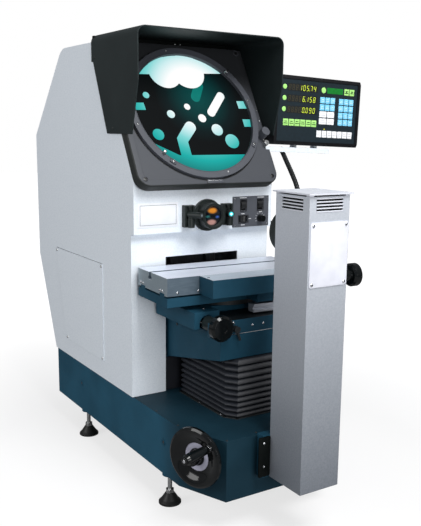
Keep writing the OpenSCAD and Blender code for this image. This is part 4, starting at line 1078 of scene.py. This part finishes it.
# Handwheel, with the spindle of its grip
GRIP_AT = (34.98, 29.87)
WHEEL_RIM = [
    (30, 14), (32, 11.5), (45, 13.5), (54, 14.8), (61.5, 17), (64.5, 22), (63.5, 27), (59, 30), (52, 29.2),
    (44, 24.5), (36, 20.5), (30, 19), (30, 14),
]
WHEEL_DISC = [(18, 12), (30.5, 13.2), (30.5, 17.5), (18, 17.5), (18, 12)]
WHEEL_HUB = [
    (9.5, 6.4), (18, 6.4), (18.5, 12), (18.5, 19), (17, 23), (15, 25), (14, 38), (12.5, 40.2), (6, 40.2),
    (5.4, 38.6),
]
HUB_CAP = [(6, 39), (5, 41.4), (3, 42), (0, 42)]
GRIP_SPINDLE = [(7, 23), (7, 33.7), (4, 33.7), (4, 100.2)]
GRIP_END = [(4, 100.2), (7, 100.3), (7, 103.2), (6, 104), (3.4, 104)]
GRIP_DOT = [(3.4, 103.6), (3.2, 104.2), (0, 104.3)]


def make_wheel():
    wheel = Piece("wheel_dish", "knob_plastic", "hub_grey", "chrome")
    wheel.turned(WHEEL_RIM, WHEEL, 0, 96)
    wheel.turned(WHEEL_DISC, WHEEL, 1, 64)
    wheel.turned(WHEEL_HUB, WHEEL, 0, 48)
    wheel.turned(HUB_CAP, WHEEL, 2, 28)
    grip = on(WHEEL, *GRIP_AT)
    wheel.turned(GRIP_SPINDLE, grip, 2, 28)
    wheel.turned(GRIP_END, grip, 0, 28)
    wheel.turned(GRIP_DOT, grip, 2, 20)
    wheel.done("wheel", "knob_plastic", "handwheel")


make_wheel()

# Screws on the stage
TABLE_FRONT_SCREWS = ((-154, -240, 476), (-104, -240, 476))
TABLE_END_X = -178
TABLE_END_Z = 478.6
TABLE_END_SCREWS_Y = (-108, -119, -205, -216)
FOCUS_FRONT = 302
FOCUS_SCREWS = ((-11.3, 404), (17.2, 404.5))
FOCUS_LINE = (-64, 388.6, 66, 390)
FOCUS_PLUG = (-61, 414)
KNEE_SIDE_BOLT = (117, 375, 92)
SLEEVE_AT = (-99, 410, 262)
SLEEVE = [(15.05, 0), (15.5, 0), (15.5, 30), (15.05, 30), (15.05, 0)]
SLIDE_SCREW_AT = (-91, -231, 434.3)


def stage_screws():
    table = Piece("table_screws", "chrome", "switch_plastic")
    for place in TABLE_FRONT_SCREWS:
        pan_screw(table, on_table(*place, FRONT), 3, 1.6)
    for y in TABLE_END_SCREWS_Y:
        pan_screw(table, on_table(TABLE_END_X, y, TABLE_END_Z, LEFT), 3.4, 2)
    table.done("table", "zinc")
    focus = Piece("focus_screws", "chrome", "switch_plastic", "black_anodised")
    screws(focus, FRONT, FOCUS_SCREWS, FOCUS_FRONT, 2.6, 1.4)
    focus.prism(box(*FOCUS_LINE), FOCUS_FRONT, FOCUS_FRONT + 0.3, FRONT)
    pan_screw(focus, on(FRONT, *FOCUS_PLUG, FOCUS_FRONT), 3.6, 1.8)
    socket_screw(focus, on(LEFT, *KNEE_SIDE_BOLT), 3.4, 1.2, 1)
    focus.turned(SLEEVE, on(FRONT, *SLEEVE_AT), 2, 48)
    focus.done("knee", "zinc")
    slide = Piece("slide_screw", "chrome", "switch_plastic")
    pan_screw(slide, on(HERE, *SLIDE_SCREW_AT), 3, 1.6)
    slide.done("focus", "zinc")


# Screws on the base, and the black plates on the tower's bracket
BASE_SIDE = 185
BASE_BOLT_Z = 146
BASE_BOLTS_Y = (-222, 233)
BASE_SCREWS = ((180, -81), (180, -180), (180, -277), (136, -398), (61, -393))
BOLT_SEAT = [(9, 0), (8.8, 0.5), (7.4, 0.5), (7.2, 0)]
BRACKET_X = 62.5
BRACKET_PLATE = (-14, 118, 14, 204)
BRACKET_FRONT = 424
BRACKET_PLATE_TOP = 426.5
BRACKET_SCREW_X = 63
BRACKET_SCREWS_Z = (140, 190)


def base_screws():
    base = Piece("base_screws", "iron", "switch_plastic", "matt_black", "base_paint", "chrome")
    for side in (-1, 1):
        for y in BASE_BOLTS_Y:
            seat = on_side(side, y, BASE_BOLT_Z, BASE_SIDE)
            base.turned(BOLT_SEAT, seat, 3, 32)
            socket_screw(base, seat, 6.6, 0.8, 3)
        for x, y in BASE_SCREWS:
            pan_screw(base, on(HERE, side * x, y, BASE_TOP), 2.4, 1.4)
        plate = on(FRONT, side * BRACKET_X, 0)
        base.prism(rounded(*BRACKET_PLATE, 3), BRACKET_FRONT, BRACKET_PLATE_TOP, plate, 2, 0.6)
        for z in BRACKET_SCREWS_Z:
            pan_screw(base, on(FRONT, side * BRACKET_SCREW_X, z, BRACKET_PLATE_TOP), 2.4, 1.6, 4)
    base.done("frame", "zinc")


# Screws and joint lines of the sheet parts
SIDE_PANEL = 189
CABINET_SIDE = 187
HOOD_SIDE = 189.8
REAR_PANEL = 525
SIDE_SCREWS = ((378, 485), (86, 485), (317, 254), (86, 254))
JOINT_FROM = 81
JOINTS = ((491.1, 387), (246.9, 324))
HOOD_SCREWS = ((101.4, 974.1), (4, 814.1))
REAR_SCREWS = [(x, z) for x in (-133, 133) for z in (495, 623, 751)]


def sheet_screws():
    panel = Piece("panel_screws", "zinc", "switch_plastic", "print_grey")
    hood = Piece("hood_screws", "black_anodised", "switch_plastic")
    for side in (-1, 1):
        for y, z in SIDE_SCREWS:
            pan_screw(panel, on_side(side, y, z, SIDE_PANEL), 3.6, 1.8)
        for low, rear in JOINTS:
            half = (rear - JOINT_FROM) / 2
            joint = on_side(side, JOINT_FROM + half, low, CABINET_SIDE)
            panel.prism(box(-half, 0, half, 1), 0, 0.2, joint, 2)
        for y, z in HOOD_SCREWS:
            pan_screw(hood, on_side(side, y, z, HOOD_SIDE), 3.2, 1.8)
    screws(panel, REAR, REAR_SCREWS, REAR_PANEL, 3.6, 1.8)
    panel.done("frame", "zinc")
    hood.done("frame", "hood_paint")


stage_screws()
base_screws()
sheet_screws()

# Blank plate and louvres of the lamp tower, and black walls inside that stand for the shade behind the
# louvres
TOWER_FRONT = 526
TOWER_MID = -475
TOWER_W = 96
TOWER_D = 102
TOWER_PLATE = (-44.5, 528, 46, 650)
TOWER_PLATE_TOP = TOWER_FRONT + 1.5
TOWER_SCREWS = [(x, z) for x in (-38.5, 40) for z in (534, 644)]
LOUVRES = 4
LOUVRE_X = 32
LOUVRE_TOP = 688.5
LOUVRE_PITCH = 6
LOUVRE_BAR = 2.5
SHADE_SHEET = (-44.5, -522.5, 44.5, -427.5)
SHADE_SHEET_Z = (655, 696)


def tower_details():
    plate = Piece("tower_plate", "plate_grey", "chrome", "switch_plastic")
    plate.prism(rounded(*TOWER_PLATE, 5), TOWER_FRONT, TOWER_PLATE_TOP, FRONT, 0, 0.4)
    screws(plate, FRONT, TOWER_SCREWS, TOWER_PLATE_TOP, 3.4, 1.8, 1, 2)
    plate.done("frame", "tower_paint")
    slats = Piece("louvre_slats", "cap_paint")
    for side in range(4):
        turn = on(HERE, 0, TOWER_MID) @ spin(90 * side)
        reach = TOWER_D / 2 if side % 2 == 0 else TOWER_W / 2
        for i in range(LOUVRES + 1):
            high = LOUVRE_TOP + LOUVRE_PITCH * (1 - i)
            bar = rounded(-LOUVRE_X, high - LOUVRE_BAR, LOUVRE_X, high, 0.5, 3)
            slats.prism(bar, reach, reach + 0.6, turn @ FRONT, 0, 0.2)
    slats.done("frame", "tower_paint")
    # Black walls inside the tower, as painted shade seen through the louvres
    shade_sheet = Piece("louvre_shade_sheet", "matt_black")
    frame_lines(shade_sheet, *SHADE_SHEET, 1, *SHADE_SHEET_Z, HERE)
    shade_sheet.done("frame", "tower_paint")


tower_details()

# Display face: film, digit windows, digits and keys, in the console's own frame
FACE_LOOKS = (
    "face_film", "digit_window", "lcd_green", "digit_lit", "digit_dim", "key_green", "key_blue", "key_white",
    "led_yellow", "ink_green", "ink_grey",
)
FILM, WINDOW, LCD, LIT, DIM, GREEN, BLUE, PALE, LED, INK_GREEN, INK_GREY = range(len(FACE_LOOKS))
FILM_TOP = 0.2
WINDOW_TOP = 0.3
KEY_TOP = 1.1
FILM_BOX = (33.4, 21.4, 290.6, 172.6)
LCD_BOX = (187, 145.5, 240.5, 160)
LED_BOX = (183, 54.6, 187, 56.6)
WINDOW_X = (60, 157)
WINDOW_HALF = 9
ROUND_KEY = (175.5, 152.5, 7.2, 32)
ROW_KEY_X = 51.5
ROW_KEY_R = 6
SEGMENTS = {
    "0": "abcdef", "1": "bc", "2": "abged", "3": "abgcd", "4": "fgbc", "5": "afgcd", "6": "afgedc",
    "7": "abc", "8": "abcdefg", "9": "abcdfg", " ": "",
}
# Ends of the bars, in widths and half heights of a digit
BARS = {
    "a": ((0, 2), (1, 2)), "b": ((1, 2), (1, 1)), "c": ((1, 1), (1, 0)), "d": ((0, 0), (1, 0)),
    "e": ((0, 0), (0, 1)), "f": ((0, 1), (0, 2)), "g": ((0, 1), (1, 1)),
}
DIGIT_X = 63.5
DIGIT_W = 6.4
DIGIT_H = 13
DIGIT_STEP = 11.3
DIGIT_LEAN = 0.12
DIGIT_BAR = 1.3
# Middle height, digits and place of the point in each row
ROWS = ((153.5, "   10574", 5), (126.5, "    6158", 4), (99.5, "    0090", 4))


def digit(piece, x, y, mark):
    """A seven-segment digit, with its unlit bars showing faintly."""
    for name, ends in BARS.items():
        placed = []
        for across, above in ends:
            dx = DIGIT_W * (0.5 + (across - 0.5) * 0.86)
            dy = DIGIT_H / 2 * (1 + (above - 1) * 0.93)
            placed.append(Vector((x + dx + DIGIT_LEAN * dy, y + dy)))
        middle = (placed[0] + placed[1]) / 2
        bar = capsule(*[middle + (end - middle) * 0.72 for end in placed], DIGIT_BAR, 3)
        look = LIT if name in SEGMENTS[mark] else DIM
        piece.prism(bar, WINDOW_TOP, WINDOW_TOP + 0.15, DISPLAY, look)


# Blocks of keys: left, low, right, high, columns, rows, look
KEY_GAP = 2.2
KEY_BLOCKS = (
    (166, 102, 215, 135.5, 3, 2, BLUE), (165.5, 67.5, 215, 100, 2, 2, PALE), (229, 67, 278, 135, 3, 4, BLUE),
    (51, 59.5, 157, 76, 6, 1, GREEN), (160, 34.5, 279.5, 51.5, 7, 1, PALE),
)
ARROW_KEYS = (245, 144.5, 278.5, 160.5, 2, 1, GREEN)
ARROWS_X = (252.5, 270.5)
ARROW_Z = 152.5
# Printed bars by key look: half length and thickness as shares of the key, ink
KEY_MARKS = {GREEN: (0.34, 0.12, INK_GREEN), BLUE: (0.3, 0.06, PALE), PALE: (0.36, 0.06, INK_GREY)}


def keypad(piece, left, low, right, high, columns, rows, look):
    """A block of keys, each with short printed bars in place of its lettering."""
    half, thick, ink = KEY_MARKS[look]
    wide = (right - left + KEY_GAP) / columns - KEY_GAP
    tall = (high - low + KEY_GAP) / rows - KEY_GAP
    for i in range(columns):
        for j in range(rows):
            x = left + (wide + KEY_GAP) * i
            y = low + (tall + KEY_GAP) * j
            piece.prism(rounded(x, y, x + wide, y + tall, 1.2, 3), FILM_TOP, KEY_TOP, DISPLAY, look, 0.4)
            middle = x + wide / 2
            for level, share in ((0.36, 1), (0.64, 0.7)):
                reach = half * wide * share
                height = y + level * tall
                bar = capsule((middle - reach, height), (middle + reach, height), thick * tall, 3)
                piece.prism(bar, KEY_TOP, KEY_TOP + 0.05, DISPLAY, ink)


def display_face():
    piece = Piece("display_face", *FACE_LOOKS)
    piece.prism(rounded(*FILM_BOX, 2), 0, FILM_TOP, DISPLAY, FILM)
    for middle, shown, point in ROWS:
        low = middle - DIGIT_H / 2
        window = rounded(WINDOW_X[0], middle - WINDOW_HALF, WINDOW_X[1], middle + WINDOW_HALF)
        piece.prism(window, FILM_TOP, WINDOW_TOP, DISPLAY, WINDOW)
        for i, mark in enumerate(shown):
            digit(piece, DIGIT_X + DIGIT_STEP * i, low, mark)
        piece.prism(circle(ROW_KEY_X, middle, ROW_KEY_R, 28), FILM_TOP, KEY_TOP, DISPLAY, GREEN, 0.4)
        dot = circle(DIGIT_X + DIGIT_STEP * point + DIGIT_W + 3, low + 0.8, 1, 12)
        piece.prism(dot, WINDOW_TOP, WINDOW_TOP + 0.15, DISPLAY, LIT)
    piece.prism(circle(*ROUND_KEY), FILM_TOP, KEY_TOP, DISPLAY, GREEN, 0.4)
    piece.prism(rounded(*LCD_BOX), FILM_TOP, 0.4, DISPLAY, LCD)
    keypad(piece, *ARROW_KEYS)
    for x in ARROWS_X:
        arrow = [(x - 2, ARROW_Z), (x, ARROW_Z - 3.5), (x + 2, ARROW_Z), (x, ARROW_Z + 3.5)]
        piece.prism(arrow, KEY_TOP, KEY_TOP + 0.1, DISPLAY, FILM)
    for block in KEY_BLOCKS:
        keypad(piece, *block)
    piece.prism(rounded(*LED_BOX, 0.6, 3), FILM_TOP, 0.5, DISPLAY, LED)
    piece.done("console", "console_plastic")


display_face()

# Floor and light
FLOOR_R = 12
FLOOR_AT = (0, 0, -0.0005)
# The floor's glow: its middle, the distances it runs over and its strength at each
LIFT_FROM = (0, -0.1, 0)
LIFT_REACH = (0.6, 1.7)
LIFT = (0.7, 1)
SKY = 0.25
SKY_COLOUR = (250, 251, 255)
# Name, place, aim, size and power of the soft boxes
SOFT_BOXES = (
    ("key_light", (0.1, -1.5, 2.3), (0, -0.2, 0.6), (1.2, 1), 48),
    ("front_fill", (-0.4, -3.2, 0.9), (0, 0, 0.5), (2, 1.2), 42),
    ("left_light", (-3, 0.2, 1.6), (0, 0.2, 0.5), (1.6, 1.6), 37),
)


def make_floor():
    """Paper floor: grey to the light, lifted to white for the camera, with the object's shadow kept."""
    bpy.ops.mesh.primitive_circle_add(vertices=96, radius=FLOOR_R, fill_type="NGON", location=FLOOR_AT)
    floor = bpy.context.object
    floor.name = "floor"
    look = Look("floor_paper", 0.9, gloss=0)
    look.colour(look.tones(look.noise(3), (148, 148, 149), (150, 150, 150)))
    lift = look.span(look.distance(LIFT_FROM), *LIFT_REACH, *LIFT)
    seen = look.node("LightPath").outputs["Is Camera Ray"]
    look.glow(WHITE, look.compute("Math", "MULTIPLY", lift, seen))
    floor.data.materials.append(look.material)


def make_world():
    """Soft light all round, and white where the camera looks past the floor."""
    world = bpy.data.worlds.new("studio")
    bpy.context.scene.world = world
    nodes = Nodes(world)
    light = nodes.tree.nodes["Background"]
    nodes.tint(SKY_COLOUR, light.inputs["Color"])
    nodes.feed(SKY, light.inputs["Strength"])
    white = nodes.node("Background", Strength=1)
    nodes.tint(WHITE, white.inputs["Color"])
    path = nodes.node("LightPath").outputs
    seen = nodes.compute("Math", "MAXIMUM", path["Is Camera Ray"], path["Is Transmission Ray"])
    mix = nodes.node("MixShader", Fac=seen)
    nodes.feed(light.outputs["Background"], mix.inputs[1])
    nodes.feed(white.outputs["Background"], mix.inputs[2])
    nodes.feed(mix.outputs["Shader"], nodes.tree.nodes["World Output"].inputs["Surface"])


def soft_box(name, at, aim, size, power):
    data = bpy.data.lights.new(name, "AREA")
    data.shape = "RECTANGLE"
    data.size, data.size_y = size
    data.energy = power
    lamp = new_object(name, data)
    lamp.location = at
    lamp.rotation_euler = (Vector(aim) - Vector(at)).to_track_quat("-Z", "Y").to_euler()


make_floor()
make_world()
for values in SOFT_BOXES:
    soft_box(*values)

bpy.context.scene.view_settings.view_transform = "Standard"
